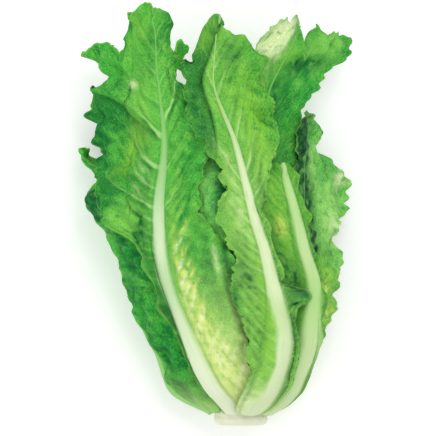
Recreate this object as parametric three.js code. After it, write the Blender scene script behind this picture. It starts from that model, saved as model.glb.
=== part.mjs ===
// A romaine lettuce head, cut at the butt and lying on its back leaves. Millimetres, +Z up.
// The butt points along -Y and the leaf tips along +Y. The origin is where the lowest rib rests on the
// surface.
//
// The head is made in its own round coordinates: a height t along it from the cut face (0) to the highest
// tip (1), a turn round its middle line from straight up, and a radius. Every leaf is a sheet in those
// coordinates. The sheets are laid one over the other from the heart outwards, so that no two leaves cross.
import * as THREE from "three";

// Driving dimensions.
const headLength = 300;
const cutFaceY = -125;
const cutRadius = 19;
const bladeThickness = 1.0;
const contactGap = 0.9;

// The head is wider than it is high, because it lies down.
const sideways = 1.12;
const pressedDepth = 1 / 3;
const degrees = Math.PI / 180;

// The middle line's place across (X) and its height above the surface (Z), by height t in the head.
const middleX = [[0, 8.5], [0.17, 9], [0.33, 5.7], [0.42, 2], [0.5, -1.4], [0.66, -7], [0.83, -11.3],
  [1, -12.8]];
const middleZ = [[0, 31], [0.08, 35], [0.15, 38], [0.25, 39.3], [0.35, 40.7], [0.5, 41.1],
  [0.66, 40.9], [0.83, 41.2], [1, 41.5]];
const bodyRadius = [[0, 19], [0.04, 21], [0.1, 35], [0.17, 42], [0.33, 50], [0.5, 52], [0.66, 50],
  [0.8, 50], [1, 56]];

// A smooth curve through [place, value] stations, flat beyond its ends.
function along(stations, at) {
  const last = stations.length - 1;
  if (at <= stations[0][0]) return stations[0][1];
  if (at >= stations[last][0]) return stations[last][1];
  let k = 0;
  while (stations[k + 1][0] < at) k += 1;
  const slope = (i) => {
    const [a, b] = [stations[Math.max(i - 1, 0)], stations[Math.min(i + 1, last)]];
    return (b[1] - a[1]) / (b[0] - a[0]);
  };
  const [from, to] = [stations[k], stations[k + 1]];
  const span = to[0] - from[0];
  const s = (at - from[0]) / span;
  const blend = s * s * (3 - 2 * s);
  return (
    from[1] * (1 - blend) + to[1] * blend +
    span * (slope(k) * s * (1 - s) * (1 - s) - slope(k + 1) * s * s * (1 - s))
  );
}

const ramp = (from, to, x) => THREE.MathUtils.smoothstep(x, from, to);

// From head coordinates to the part's frame. The lower side is pressed flatter than the upper one.
function liftOf(turn) {
  const up = Math.cos(turn);
  return up >= 0 ? up : up * (1 - pressedDepth * up * up);
}

// Towards the butt the right side draws in: the share of its radius that it loses there.
const drawnIn = [[0, 0.2], [0.04, 0.2], [0.085, 0.16], [0.12, 0.12], [0.17, 0.04], [0.2, 0]];
function narrowing(turn, t) {
  return 1 - along(drawnIn, t) * (0.5 + 0.5 * Math.sin(turn));
}

// There the leaves close in on the stem too: the share that is left of how far they stand out from it.
const closedIn = [[0.028, 0.3], [0.036, 0.55], [0.046, 0.78], [0.06, 0.92], [0.08, 1]];

function headPoint(turn, t, radius) {
  const beyond = Math.max(0, radius - cutRadius) * (1 - along(closedIn, t));
  const reach = (radius - beyond) * narrowing(turn, t);
  return new THREE.Vector3(
    along(middleX, t) + sideways * reach * Math.sin(turn),
    cutFaceY + headLength * t,
    along(middleZ, t) + reach * liftOf(turn),
  );
}

// --------------------------------------------------------------------------------------------------------
// What is laid so far, as the outer radius in each cell of a grid of turn and t.
const turnCells = 180;
const heightCells = 126;
const heightTop = 1.05;

class Layers {
  constructor(radius) {
    this.radius = radius ?? new Float64Array(turnCells * heightCells);
  }

  copy() {
    return new Layers(this.radius.slice());
  }

  cell(turn, t) {
    const a = (turn / (2 * Math.PI)) * turnCells;
    const b = (t / heightTop) * (heightCells - 1);
    return [Math.floor(a), Math.min(Math.max(Math.floor(b), 0), heightCells - 2)];
  }

  index(a, b) {
    return (((a % turnCells) + turnCells) % turnCells) * heightCells + b;
  }

  // The four cells round a place, put together by pick.
  at(turn, t, pick = Math.max) {
    const [a, b] = this.cell(turn, t);
    return pick(
      this.radius[this.index(a, b)], this.radius[this.index(a + 1, b)],
      this.radius[this.index(a, b + 1)], this.radius[this.index(a + 1, b + 1)],
    );
  }

  // Marks a place on those four cells.
  lay(turn, t, radius, pick = Math.max) {
    const [a, b] = this.cell(turn, t);
    for (const [da, db] of [[0, 0], [1, 0], [0, 1], [1, 1]]) {
      const i = this.index(a + da, b + db);
      this.radius[i] = pick(this.radius[i], radius);
    }
  }
}

// --------------------------------------------------------------------------------------------------------
// Leaves. turn is the rib's turn in degrees, left and right the blade's half widths in mm, crown the leaf's
// top edge (t, by the place across from -1 to 1), reach the rib's radius, open how far each side leaves the
// round of the head for a flat plate, and wave the ruffle's height in mm with its length along the leaf, in
// shares of the head.
const broadRib = [[0.03, 8], [0.08, 9.5], [0.17, 9.5], [0.3, 6], [0.45, 4], [0.65, 2.3], [0.8, 1.3],
  [1, 0.9]];
const flatRib = [[0.03, 6.5], [0.08, 8], [0.17, 8.5], [0.3, 7.5], [0.45, 6.5], [0.65, 4], [1, 1.5]];
const plainRib = [[0.03, 6.5], [0.08, 7.5], [0.17, 7], [0.3, 5], [0.5, 3], [0.7, 1.6], [1, 0.9]];
const slimRib = [[0.06, 5], [0.12, 5.5], [0.25, 4.5], [0.5, 2.2], [0.7, 1.2], [1, 0.8]];

const shareOfBody = (share) => bodyRadius.map(([t, r]) => [t, r * share]);

const leaves = [];

// The heart: three short leaves closed round the core's tip.
for (let k = 0; k < 3; k += 1) {
  const tip = 0.6 + 0.03 * k;
  leaves.push({
    name: `heart_leaf_${k + 1}`, color: 0xd9e48c, rows: 9, blades: 3, ribSteps: 1, gap: 1.0,
    start: 0.155, crown: [[-1, tip - 0.09], [0, tip], [1, tip - 0.09]],
    turn: [[0.15, 50 + 120 * k], [0.6, 62 + 120 * k]],
    left: [[0.15, 6], [0.3, 17], [0.5, 21], [0.7, 15]],
    right: [[0.15, 6], [0.3, 17], [0.5, 21], [0.7, 15]],
    reach: [[0.15, 10], [0.4, 13], [0.6, 11]],
    open: [0, 0], opensFrom: 0.2, rib: slimRib, wave: [1.6, 0.11, k],
  });
}

// The inner whorl.
for (let k = 0; k < 4; k += 1) {
  const tip = 0.7 + 0.025 * ((k * 3) % 4);
  leaves.push({
    name: `inner_leaf_${k + 1}`, color: 0xb9d468, rows: 12, blades: 3, ribSteps: 1, gap: 1.2,
    start: 0.105,
    crown: [[-1, tip - 0.09], [-0.4, tip - 0.01], [0, tip], [0.4, tip - 0.01], [1, tip - 0.09]],
    turn: [[0.1, 8 + 90 * k], [0.7, 18 + 90 * k]],
    left: [[0.1, 8], [0.2, 20], [0.45, 32], [0.65, 33], [0.8, 26]],
    right: [[0.1, 8], [0.2, 20], [0.45, 32], [0.65, 33], [0.8, 26]],
    reach: shareOfBody(0.5), open: [0, 0], opensFrom: 0.2, rib: slimRib, wave: [2.2, 0.12, k * 1.7],
  });
}

// The middle whorl: four plain leaves, and two that show between the front ones.
const middlePlain = [[-75, 0.8], [-135, 0.76], [165, 0.74], [98, 0.8]];
middlePlain.forEach(([turn, tip], k) => {
  leaves.push({
    name: `middle_leaf_${k + 1}`, color: 0x86bf4c, rows: 13, blades: 3, ribSteps: 2, gap: 1.4,
    start: 0.066,
    crown: [[-1, tip - 0.1], [-0.5, tip - 0.02], [0, tip], [0.5, tip - 0.02], [1, tip - 0.1]],
    turn: [[0.06, turn], [0.8, turn + 5]],
    left: [[0.06, 8], [0.15, 20], [0.35, 36], [0.6, 42], [0.8, 32]],
    right: [[0.06, 8], [0.15, 20], [0.35, 36], [0.6, 42], [0.8, 32]],
    reach: shareOfBody(0.74), open: [0, 0], opensFrom: 0.2, rib: plainRib, wave: [3, 0.12, k * 2.1],
  });
});
leaves.push({
  name: "middle_leaf_front", color: 0x6fb43f, rows: 20, blades: 4, ribSteps: 2, gap: 1.6,
  start: 0.066, crown: [[-1, 0.68], [-0.5, 0.75], [0, 0.78], [0.5, 0.76], [1, 0.7]],
  turn: [[0.06, -16], [0.3, -26], [0.5, -32], [0.8, -28]],
  left: [[0.06, 8], [0.15, 18], [0.35, 26], [0.6, 28], [0.78, 22]],
  right: [[0.06, 8], [0.15, 18], [0.35, 34], [0.6, 40], [0.78, 30]],
  reach: [[0.06, 19], [0.1, 27], [0.17, 33], [0.33, 45], [0.5, 50], [0.66, 47], [0.8, 45]],
  open: [0.1, 0.1], opensFrom: 0.2, rib: plainRib, wave: [3.5, 0.1, 0.4],
});
leaves.push({
  name: "tall_leaf_right", color: 0x62b23f, rows: 26, blades: 5, ribSteps: 2, gap: 1.8,
  start: 0.066,
  crown: [[-1, 0.93], [-0.8, 0.948], [-0.5, 0.96], [-0.2, 0.966], [0, 0.95], [0.14, 0.905],
    [0.28, 0.91], [0.4, 0.94], [0.55, 0.915], [0.75, 0.905], [0.88, 0.915], [1, 0.91]],
  turn: [[0.06, 34], [0.15, 35], [0.3, 36], [0.5, 34], [0.62, 33], [0.77, 35], [0.85, 43],
    [0.92, 51], [0.97, 53]],
  left: [[0.06, 8], [0.2, 22], [0.4, 28], [0.6, 28], [0.75, 26], [0.85, 28], [0.97, 28]],
  right: [[0.06, 8], [0.2, 22], [0.4, 26], [0.6, 28], [0.66, 30], [0.7, 32], [0.76, 36], [0.81, 47],
    [0.86, 58], [0.9, 66], [0.92, 67], [0.97, 62]],
  reach: [[0.06, 18], [0.1, 27], [0.2, 36], [0.33, 42], [0.5, 45], [0.66, 47], [0.8, 55], [0.9, 65],
    [0.97, 70]],
  open: [0.3, 0.7], opensFrom: 0.2, rib: plainRib, wave: [4.5, 0.09, 1.3],
});

// The outer whorl, from the underside round to the front.
const underside = [["under_leaf_left", -141, 0.72, 0.7], ["under_leaf_right", 147, 0.74, 2.9]];
underside.forEach(([name, turn, tip, phase]) => {
  leaves.push({
    name, color: 0x4c9a36, rows: 14, blades: 3, ribSteps: 2, gap: 1.6,
    start: 0.03,
    crown: [[-1, tip - 0.1], [-0.5, tip - 0.02], [0, tip], [0.5, tip - 0.02], [1, tip - 0.1]],
    turn: [[0.03, turn], [0.2, turn + 2 * Math.sign(turn)], [0.8, turn + 4 * Math.sign(turn)]],
    left: [[0.03, 6.5], [0.07, 8], [0.12, 17], [0.25, 32], [0.5, 42], [0.7, 36]],
    right: [[0.03, 6.5], [0.07, 8], [0.12, 17], [0.25, 32], [0.5, 42], [0.7, 36]],
    reach: shareOfBody(1), open: [0, 0], opensFrom: 0.2, rib: plainRib, wave: [3.5, 0.12, phase],
  });
});
leaves.push({
  name: "outer_leaf_left", color: 0x2f8a38, rows: 20, blades: 4, ribSteps: 2, gap: 2.2,
  start: 0.03, crown: [[-1, 0.55], [-0.6, 0.62], [-0.2, 0.655], [0.3, 0.65], [0.7, 0.62], [1, 0.58]],
  turn: [[0.03, -95], [0.1, -99], [0.3, -105], [0.5, -107], [0.65, -105]],
  left: [[0.03, 7], [0.07, 8.5], [0.12, 16], [0.3, 26], [0.5, 24], [0.65, 20]],
  right: [[0.03, 16], [0.05, 25], [0.08, 29], [0.12, 33], [0.2, 42], [0.4, 56], [0.55, 50], [0.65, 32]],
  reach: [[0.03, 24], [0.04, 29], [0.05, 33.5], [0.07, 39.5], [0.09, 44.5], [0.13, 49], [0.17, 52.5],
    [0.23, 61], [0.32, 66], [0.42, 66], [0.47, 72], [0.5, 78], [0.55, 83], [0.59, 76], [0.625, 86],
    [0.66, 88]],
  open: [-0.9, -1.15], opensFrom: -0.4, rib: plainRib, wave: [3.5, 0.13, 0.2],
});
leaves.push({
  name: "outer_leaf_right", color: 0x57b04a, rows: 25, blades: 4, ribSteps: 2, gap: 1.6,
  start: 0.03, crown: [[-1, 0.69], [-0.5, 0.72], [0, 0.735], [0.4, 0.745], [0.7, 0.74], [1, 0.7]],
  turn: [[0.03, 62], [0.1, 58], [0.2, 59], [0.5, 61], [0.62, 66], [0.76, 70]],
  left: [[0.03, 6.5], [0.07, 8], [0.12, 13], [0.25, 22], [0.45, 24], [0.55, 16], [0.62, 12],
    [0.68, 13], [0.76, 13]],
  right: [[0.03, 8], [0.05, 12], [0.07, 13], [0.12, 15], [0.18, 19], [0.23, 22], [0.27, 29],
    [0.3, 34], [0.34, 31], [0.36, 34], [0.39, 47], [0.42, 42], [0.46, 37], [0.49, 45], [0.53, 62],
    [0.57, 57], [0.6, 52], [0.63, 43], [0.66, 30], [0.7, 33], [0.76, 24]],
  reach: [[0.03, 25], [0.05, 32], [0.1, 38], [0.2, 44.5], [0.33, 50.5], [0.5, 52.5], [0.6, 52],
    [0.76, 50]],
  open: [0, 1.4], opensFrom: -0.2, rib: flatRib, wave: [3.5, 0.125, 2.0],
});
leaves.push({
  name: "front_leaf_right", color: 0x5fae3c, rows: 18, blades: 4, ribSteps: 2, gap: 1.8,
  start: 0.03, crown: [[-1, 0.6], [-0.6, 0.618], [-0.2, 0.622], [0.3, 0.615], [1, 0.59]],
  turn: [[0.03, 45], [0.1, 43], [0.17, 45.5], [0.25, 47], [0.33, 50], [0.42, 45.5], [0.5, 44],
    [0.62, 40]],
  left: [[0.03, 6], [0.07, 8], [0.12, 14], [0.2, 22], [0.3, 28], [0.4, 34], [0.475, 36], [0.54, 29],
    [0.6, 19], [0.62, 15]],
  right: [[0.03, 6], [0.1, 8], [0.15, 7], [0.2, 7.5], [0.3, 8.5], [0.62, 8]],
  reach: shareOfBody(1), open: [0.1, 0], opensFrom: 0.2, rib: plainRib, wave: [4, 0.1, 0.9],
});
leaves.push({
  name: "under_leaf_middle", color: 0x4c9a36, rows: 17, blades: 4, ribSteps: 2, gap: 1.6,
  start: 0.03, crown: [[-1, 0.68], [-0.5, 0.76], [0, 0.79], [0.5, 0.77], [1, 0.7]],
  turn: [[0.03, 185], [0.2, 182.3], [0.42, 181.8], [0.8, 180]],
  left: [[0.03, 6.5], [0.07, 8], [0.12, 15], [0.25, 26], [0.5, 32], [0.78, 27]],
  right: [[0.03, 6.5], [0.07, 8], [0.12, 16], [0.25, 28], [0.5, 36], [0.78, 31]],
  reach: [[0.03, 20], [0.1, 36], [0.17, 46], [0.33, 56], [0.5, 58], [0.66, 57], [0.8, 56]],
  open: [0, 0], opensFrom: 0.2, rib: flatRib, wave: [2, 0.12, 1.1],
});
leaves.push({
  name: "front_leaf_left", color: 0x4fae45, rows: 26, blades: 5, ribSteps: 2, gap: 2.4,
  start: 0.03,
  crown: [[-1, 0.875], [-0.85, 0.9], [-0.68, 0.905], [-0.55, 0.885], [-0.48, 0.875], [-0.42, 0.925],
    [-0.33, 0.965], [-0.15, 0.997], [0.1, 0.985], [0.35, 0.968], [0.5, 0.925], [0.62, 0.902],
    [0.75, 0.908], [0.88, 0.9], [1, 0.875]],
  turn: [[0.03, -21], [0.1, -35], [0.17, -43], [0.33, -52], [0.5, -48.5], [0.66, -40], [0.8, -39],
    [1, -36]],
  left: [[0.03, 8.5], [0.06, 9.5], [0.1, 10.5], [0.2, 10], [0.35, 7.5], [0.42, 8.5], [0.48, 23],
    [0.54, 34], [0.6, 44], [0.66, 50], [0.7, 57], [0.74, 65], [0.77, 59], [0.8, 47], [0.84, 47],
    [0.88, 60], [0.92, 63], [1, 63]],
  right: [[0.03, 8.5], [0.05, 14], [0.08, 23], [0.12, 31], [0.17, 37], [0.3, 47], [0.4, 50],
    [0.46, 38], [0.53, 28], [0.6, 31], [0.7, 33], [0.76, 27], [0.8, 18], [0.835, 14], [0.865, 18],
    [0.885, 24], [0.92, 26], [1, 26]],
  reach: [[0.03, 20], [0.1, 35], [0.17, 42], [0.33, 51], [0.5, 54], [0.66, 54], [0.8, 57], [1, 64]],
  open: [0.9, 0.3], opensFrom: 0.2, rib: broadRib, wave: [5, 0.1, 0],
});
leaves.push({
  name: "front_leaf_middle", color: 0x6fbb48, rows: 26, blades: 5, ribSteps: 2, gap: 2.4,
  start: 0.03,
  crown: [[-1, 0.86], [-0.75, 0.9], [-0.45, 0.93], [-0.15, 0.958], [-0.03, 0.972], [0.1, 0.94],
    [0.3, 0.93], [0.5, 0.922], [0.75, 0.908], [0.9, 0.885], [1, 0.86]],
  turn: [[0.03, 10], [0.1, 17.5], [0.17, 21], [0.25, 22], [0.33, 19.5], [0.42, 17], [0.5, 13.5],
    [0.66, 8.5], [0.8, -1.5], [0.88, 0], [0.97, 3]],
  left: [[0.03, 8.5], [0.06, 8.5], [0.1, 10], [0.14, 11.5], [0.17, 16], [0.2, 18.5], [0.24, 17.5],
    [0.3, 25], [0.345, 23], [0.4, 18.5], [0.456, 22], [0.5, 23], [0.56, 15], [0.6, 15], [0.66, 20],
    [0.72, 25], [0.8, 20], [0.9, 18], [0.97, 18]],
  right: [[0.03, 8.5], [0.1, 10.5], [0.2, 10.5], [0.3, 8.5], [0.36, 7], [0.42, 6], [0.475, 6.5],
    [0.53, 10], [0.6, 18], [0.68, 28], [0.78, 33], [0.88, 32], [0.97, 30]],
  reach: [[0.03, 20], [0.1, 35], [0.17, 43], [0.33, 52], [0.5, 56], [0.66, 57], [0.8, 60], [0.97, 65]],
  open: [0.3, 0.3], opensFrom: 0.2, rib: broadRib, wave: [4.5, 0.1, 2.2],
});

// Places across a leaf, from margin to margin: ribShare of the way out is rib, the rest is blade, closer
// together towards the margin.
const ribShare = 0.25;
function placesAcross(leaf) {
  const half = [];
  for (let k = 1; k <= leaf.ribSteps; k += 1) half.push(ribShare * (k / leaf.ribSteps) ** 0.8);
  for (let k = 1; k <= leaf.blades; k += 1) {
    half.push(ribShare + (1 - ribShare) * (1 - (1 - k / leaf.blades) ** 1.15));
  }
  return [...half.map((c) => -c).reverse(), 0, ...half];
}

// One place on a leaf: how far across in mm, its t and its turn.
function place(leaf, down, c) {
  const side = c < 0 ? leaf.left : leaf.right;
  const past = Math.max(0, (Math.abs(c) - ribShare) / (1 - ribShare));
  const top = along(leaf.crown, Math.sign(c) * past);
  const t = leaf.start + (top - leaf.start) * down;
  const rib = along(leaf.rib, t);
  const width = Math.max(along(side, t), rib + 0.5);
  const x = Math.sign(c) * (Math.min(1, Math.abs(c) / ribShare) * rib + past * (width - rib));
  const reach = along(leaf.reach, t);
  const open = leaf.open[c < 0 ? 0 : 1] * ramp(leaf.opensFrom, leaf.opensFrom + 0.5, t);
  const bend = x / (reach * (1 + (sideways - 1) / 2));
  const swing = (1 - open) * bend + open * Math.atan(bend);
  const natural = reach * (1 + open * (1 / Math.cos(Math.min(Math.abs(swing), 1.15)) - 1));
  return { c, past, t, x, rib, turn: along(leaf.turn, t) * degrees + swing, natural };
}

// Calls visit(turn, t, radius) at evenly spread places of each quad of a leaf.
function overQuads(leaf, radius, steps, visit) {
  const { grid } = leaf;
  for (let i = 0; i + 1 < grid.length; i += 1) {
    for (let j = 0; j + 1 < grid[0].length; j += 1) {
      const corners = [[i, j], [i + 1, j], [i, j + 1], [i + 1, j + 1]];
      for (let m = 0; m <= steps; m += 1) {
        for (let n = 0; n <= steps; n += 1) {
          const [a, b] = [m / steps, n / steps];
          const weights = [(1 - a) * (1 - b), a * (1 - b), (1 - a) * b, a * b];
          let [turn, t, r] = [0, 0, 0];
          corners.forEach(([p, q], k) => {
            turn += weights[k] * grid[p][q].turn;
            t += weights[k] * grid[p][q].t;
            r += weights[k] * radius[p][q];
          });
          visit(turn, t, r, corners, weights);
        }
      }
    }
  }
}

// Lays a leaf over the layers inside it: as its own shape, lifted smoothly wherever it would dip into them.
// Its gap to them opens over closeLength from the cut.
const settlePasses = 46;
const smoothPasses = 34;
const closeLength = 0.06;
function settle(leaf, layers) {
  const across = placesAcross(leaf);
  leaf.grid = [];
  for (let i = 0; i <= leaf.rows; i += 1) {
    leaf.grid.push(across.map((c) => place(leaf, (i / leaf.rows) ** 1.05, c)));
  }
  const rows = leaf.grid.length;
  const cols = across.length;
  const base = leaf.grid.map((row) => row.map((p) => p.natural));
  let lift = base.map((row) => row.map(() => 0));
  for (let pass = 0; pass < settlePasses; pass += 1) {
    if (pass < smoothPasses) {
      lift = lift.map((row, i) => row.map((value, j) => {
        const [up, dn] = [lift[Math.max(i - 1, 0)][j], lift[Math.min(i + 1, rows - 1)][j]];
        const [lt, rt] = [row[Math.max(j - 1, 0)], row[Math.min(j + 1, cols - 1)]];
        return Math.max(0, 0.4 * value + 0.15 * (up + dn + lt + rt));
      }));
    }
    const radius = base.map((row, i) => row.map((value, j) => value + lift[i][j]));
    overQuads(leaf, radius, 4, (turn, t, r, corners, weights) => {
      const gap = contactGap + (leaf.gap - contactGap) * ramp(leaf.start, leaf.start + closeLength, t);
      const short = layers.at(turn, t) + gap - r;
      if (short <= 0) return;
      const share = weights.reduce((sum, w) => sum + w * w, 0);
      corners.forEach(([p, q], k) => {
        const raised = (short * weights[k]) / share;
        lift[p][q] = Math.max(lift[p][q], radius[p][q] + raised - base[p][q]);
      });
    });
  }
  leaf.inner = base.map((row, i) => row.map((value, j) => value + lift[i][j]));
}

// How much a sheet leans away from the round of the head at a place: a leaning one is thicker along the
// radius, up to mostLean times. Steps shorter than these, in mm, count as this long.
const mostLean = 1.8;
const leastStep = { down: 8, across: 4 };
function leaning(leaf, inner, i, j) {
  const { grid } = leaf;
  const [up, dn] = [Math.max(i - 1, 0), Math.min(i + 1, grid.length - 1)];
  const [lt, rt] = [Math.max(j - 1, 0), Math.min(j + 1, grid[0].length - 1)];
  const downStep = headLength * Math.abs(grid[dn][j].t - grid[up][j].t);
  const acrossStep = inner[i][j] * Math.abs(grid[i][rt].turn - grid[i][lt].turn);
  const alongLeaf = (inner[dn][j] - inner[up][j]) / Math.max(leastStep.down, downStep);
  const acrossLeaf = (inner[i][rt] - inner[i][lt]) / Math.max(leastStep.across, acrossStep);
  return Math.min(mostLean, Math.hypot(1, alongLeaf, acrossLeaf));
}

// The outer face: the blade's thickness, which keeps its size where the head is pressed flat, and the rib's
// round back, ribDepth of the rib's half width at its crest.
const ribDepth = 0.72;
const ribRound = 0.8;
function outerOf(leaf, inner) {
  return inner.map((row, i) => row.map((r, j) => {
    const { x, rib, turn, t } = leaf.grid[i][j];
    const flattened = Math.hypot(sideways * Math.sin(turn), liftOf(turn));
    const pressed = flattened * narrowing(turn, t) * along(closedIn, t);
    const ribBack = ribDepth * rib * Math.max(0, 1 - (x / rib) ** 2) ** ribRound;
    return r + (bladeThickness / pressed + ribBack) * leaning(leaf, inner, i, j);
  }));
}

// The ruffle: a wave that grows towards the margin and the tip, with a slower one in it. The two sides of a
// leaf are sideShift apart, and the crests lean outwards by leanShift.
const sideShift = 1.9;
const leanShift = 1.1;
const slower = 2.7;
const slowShare = 0.28;
function ruffle(leaf, p) {
  const [height, length, phase] = leaf.wave;
  const grows = ramp(0.15, 1, p.past) * ramp(leaf.start + 0.08, leaf.start + 0.3, p.t);
  const side = p.c < 0 ? sideShift : 0;
  const wave = Math.sin((2 * Math.PI * p.t) / length + phase + side + leanShift * p.past);
  const slow = Math.sin((2 * Math.PI * p.t) / (slower * length) + 2 * phase + side);
  return height * grows * ((1 - slowShare) * wave + slowShare * slow);
}

// --------------------------------------------------------------------------------------------------------
// The stem: the bare cut butt, then the core, which narrows as leaf after leaf leaves it.
const stemProfile = [[0, 17.6], [0.004, 18.8], [0.012, cutRadius], [0.036, 18.6], [0.064, 16.6],
  [0.1, 13.6], [0.15, 9.6], [0.19, 5.6], [0.215, 2]];
const stemSides = 28;

function stemGeometry() {
  const profile = [new THREE.Vector2(0, 0), ...stemProfile.map(([t, r]) => new THREE.Vector2(r, t))];
  profile.push(new THREE.Vector2(0, stemProfile.at(-1)[0]));
  const geometry = new THREE.LatheGeometry(profile, stemSides);
  const position = geometry.getAttribute("position");
  for (let i = 0; i < position.count; i += 1) {
    const [x, t, z] = [position.getX(i), position.getY(i), position.getZ(i)];
    const point = headPoint(Math.atan2(x, z), t, Math.hypot(x, z));
    position.setXYZ(i, point.x, point.y, point.z);
  }
  return geometry;
}

// --------------------------------------------------------------------------------------------------------
// A leaf's closed solid: the same triangles on its outer and its inner face, and a rim between them.
function leafGeometry(leaf) {
  const rows = leaf.grid.length;
  const cols = leaf.grid[0].length;
  const positions = [];
  for (const [face, radius] of [["outer", leaf.outer], ["inner", leaf.inner]]) {
    leaf.grid.forEach((row, i) => row.forEach((p, j) => {
      const point = headPoint(p.turn, p.t, radius[i][j]);
      // What would reach below the surface is pressed flat on it.
      if (face === "outer") point.z = Math.max(point.z, 0);
      positions.push(point.x, point.y, point.z);
    }));
  }
  const at = (face, i, j) => face * rows * cols + i * cols + j;
  const index = [];
  for (let i = 0; i + 1 < rows; i += 1) {
    for (let j = 0; j + 1 < cols; j += 1) {
      const [a, b, c, d] = [[i, j], [i, j + 1], [i + 1, j], [i + 1, j + 1]];
      const halves = j < (cols - 1) / 2 ? [[a, b, c], [b, d, c]] : [[a, d, c], [a, b, d]];
      for (const [p, q, r] of halves) {
        index.push(at(0, ...p), at(0, ...q), at(0, ...r));
        index.push(at(1, ...p), at(1, ...r), at(1, ...q));
      }
    }
  }
  const rim = [];
  for (let j = 0; j + 1 < cols; j += 1) rim.push([0, j + 1, 0, j], [rows - 1, j, rows - 1, j + 1]);
  for (let i = 0; i + 1 < rows; i += 1) rim.push([i, 0, i + 1, 0], [i + 1, cols - 1, i, cols - 1]);
  for (const [i, j, k, l] of rim) {
    index.push(at(0, i, j), at(0, k, l), at(1, i, j));
    index.push(at(0, k, l), at(1, k, l), at(1, i, j));
  }
  const geometry = new THREE.BufferGeometry();
  geometry.setAttribute("position", new THREE.Float32BufferAttribute(positions, 3));
  geometry.setIndex(index);
  geometry.computeVertexNormals();
  return geometry;
}

// --------------------------------------------------------------------------------------------------------
// Lay the leaves from the heart outwards.
const laid = new Layers();
for (let b = 0; b < heightCells; b += 1) {
  const t = (b / (heightCells - 1)) * heightTop;
  const r = t <= stemProfile.at(-1)[0] ? along(stemProfile, t) : 0;
  for (let a = 0; a < turnCells; a += 1) laid.radius[laid.index(a, b)] = r;
}
for (const leaf of leaves) {
  leaf.inside = laid.copy();
  settle(leaf, laid);
  leaf.outer = outerOf(leaf, leaf.inner);
  overQuads(leaf, leaf.outer, 6, (turn, t, r) => laid.lay(turn, t, r));
}

// Then ruffle each one into the room that its neighbours leave, from the outside in. It takes roomShare of
// that room, less roomKept, in mm.
const roomShare = 0.42;
const roomKept = 0.25;
const farOut = 1e3;
const outside = new Layers(new Float64Array(turnCells * heightCells).fill(farOut));
for (const leaf of [...leaves].reverse()) {
  const smooth = leaf.inner;
  leaf.inner = smooth.map((row, i) => row.map((r, j) => {
    const p = leaf.grid[i][j];
    const room = (towards) => Math.max(0, roomShare * towards - roomKept);
    const above = room(outside.at(p.turn, p.t, Math.min) - leaf.outer[i][j]);
    const below = room(r - leaf.inside.at(p.turn, p.t));
    return r + Math.max(-below, Math.min(above, ruffle(leaf, p)));
  }));
  overQuads(leaf, smooth, 6, (turn, t, r) => outside.lay(turn, t, r, Math.min));
  leaf.outer = outerOf(leaf, leaf.inner);
}

const head = new THREE.Group();
const stemMaterial = new THREE.MeshStandardMaterial({ color: 0xece9cf, roughness: 0.55, metalness: 0 });
const stem = new THREE.Mesh(stemGeometry(), stemMaterial);
stem.name = "stem";
head.add(stem);
for (const leaf of leaves) {
  const material = new THREE.MeshStandardMaterial({ color: leaf.color, roughness: 0.5, metalness: 0 });
  const mesh = new THREE.Mesh(leafGeometry(leaf), material);
  mesh.name = leaf.name;
  head.add(mesh);
}

export default head;
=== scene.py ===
import math

import bpy
import numpy as np
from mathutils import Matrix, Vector


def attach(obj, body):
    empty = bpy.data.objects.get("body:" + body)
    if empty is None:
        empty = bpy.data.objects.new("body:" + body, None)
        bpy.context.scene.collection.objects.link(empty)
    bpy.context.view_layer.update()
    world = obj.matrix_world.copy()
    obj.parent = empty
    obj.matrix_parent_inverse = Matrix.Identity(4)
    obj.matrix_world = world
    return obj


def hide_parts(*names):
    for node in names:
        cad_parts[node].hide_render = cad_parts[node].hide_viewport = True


# A romaine lettuce head lying on a pale floor, seen from straight above with its leaf tips away.
# The solids of the frame give where every leaf lies. Each is laid again here as a fine sheet, with its veins,
# blisters and ruffled margin. Lengths below are in millimetres, and become metres where the meshes are made.
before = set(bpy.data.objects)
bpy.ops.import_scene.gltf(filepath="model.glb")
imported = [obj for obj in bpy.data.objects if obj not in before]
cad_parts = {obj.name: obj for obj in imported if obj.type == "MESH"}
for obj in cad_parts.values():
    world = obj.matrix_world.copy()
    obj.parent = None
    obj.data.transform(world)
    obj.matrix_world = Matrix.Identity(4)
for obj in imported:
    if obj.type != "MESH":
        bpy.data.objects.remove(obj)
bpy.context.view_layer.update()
mm = 0.001
tiny = 1e-9

# The head's own round coordinates: t along it, a turn round its middle line from straight up, and a radius.
head = {
    "length": 300,
    "cutFaceY": -125,
    "sideways": 1.12,  # wider than high
    "pressed": 1 / 3,  # how far the underside is flattened
    "middleX": [[0, 8.5], [0.17, 9], [0.33, 5.7], [0.42, 2], [0.5, -1.4], [0.66, -7], [0.83, -11.3],
                [1, -12.8]],
    "middleZ": [[0, 31], [0.08, 35], [0.15, 38], [0.25, 39.3], [0.35, 40.7], [0.5, 41.1], [0.66, 40.9],
                [0.83, 41.2], [1, 41.5]],
    "drawnIn": [[0, 0.2], [0.04, 0.2], [0.085, 0.16], [0.12, 0.12], [0.17, 0.04], [0.2, 0]],  # low, at right
    "closedIn": [[0.028, 0.3], [0.036, 0.55], [0.046, 0.78], [0.06, 0.92], [0.08, 1]],  # leaf bases
    "cutRadius": 19,
    "usualRadius": 50,
    "body": [[0, 19], [0.04, 21], [0.1, 35], [0.17, 42], [0.33, 50], [0.5, 52], [0.66, 50], [0.8, 50],
             [1, 56]],
    "rounds": 12,  # enough for the way back from the frame to settle
}


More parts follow.
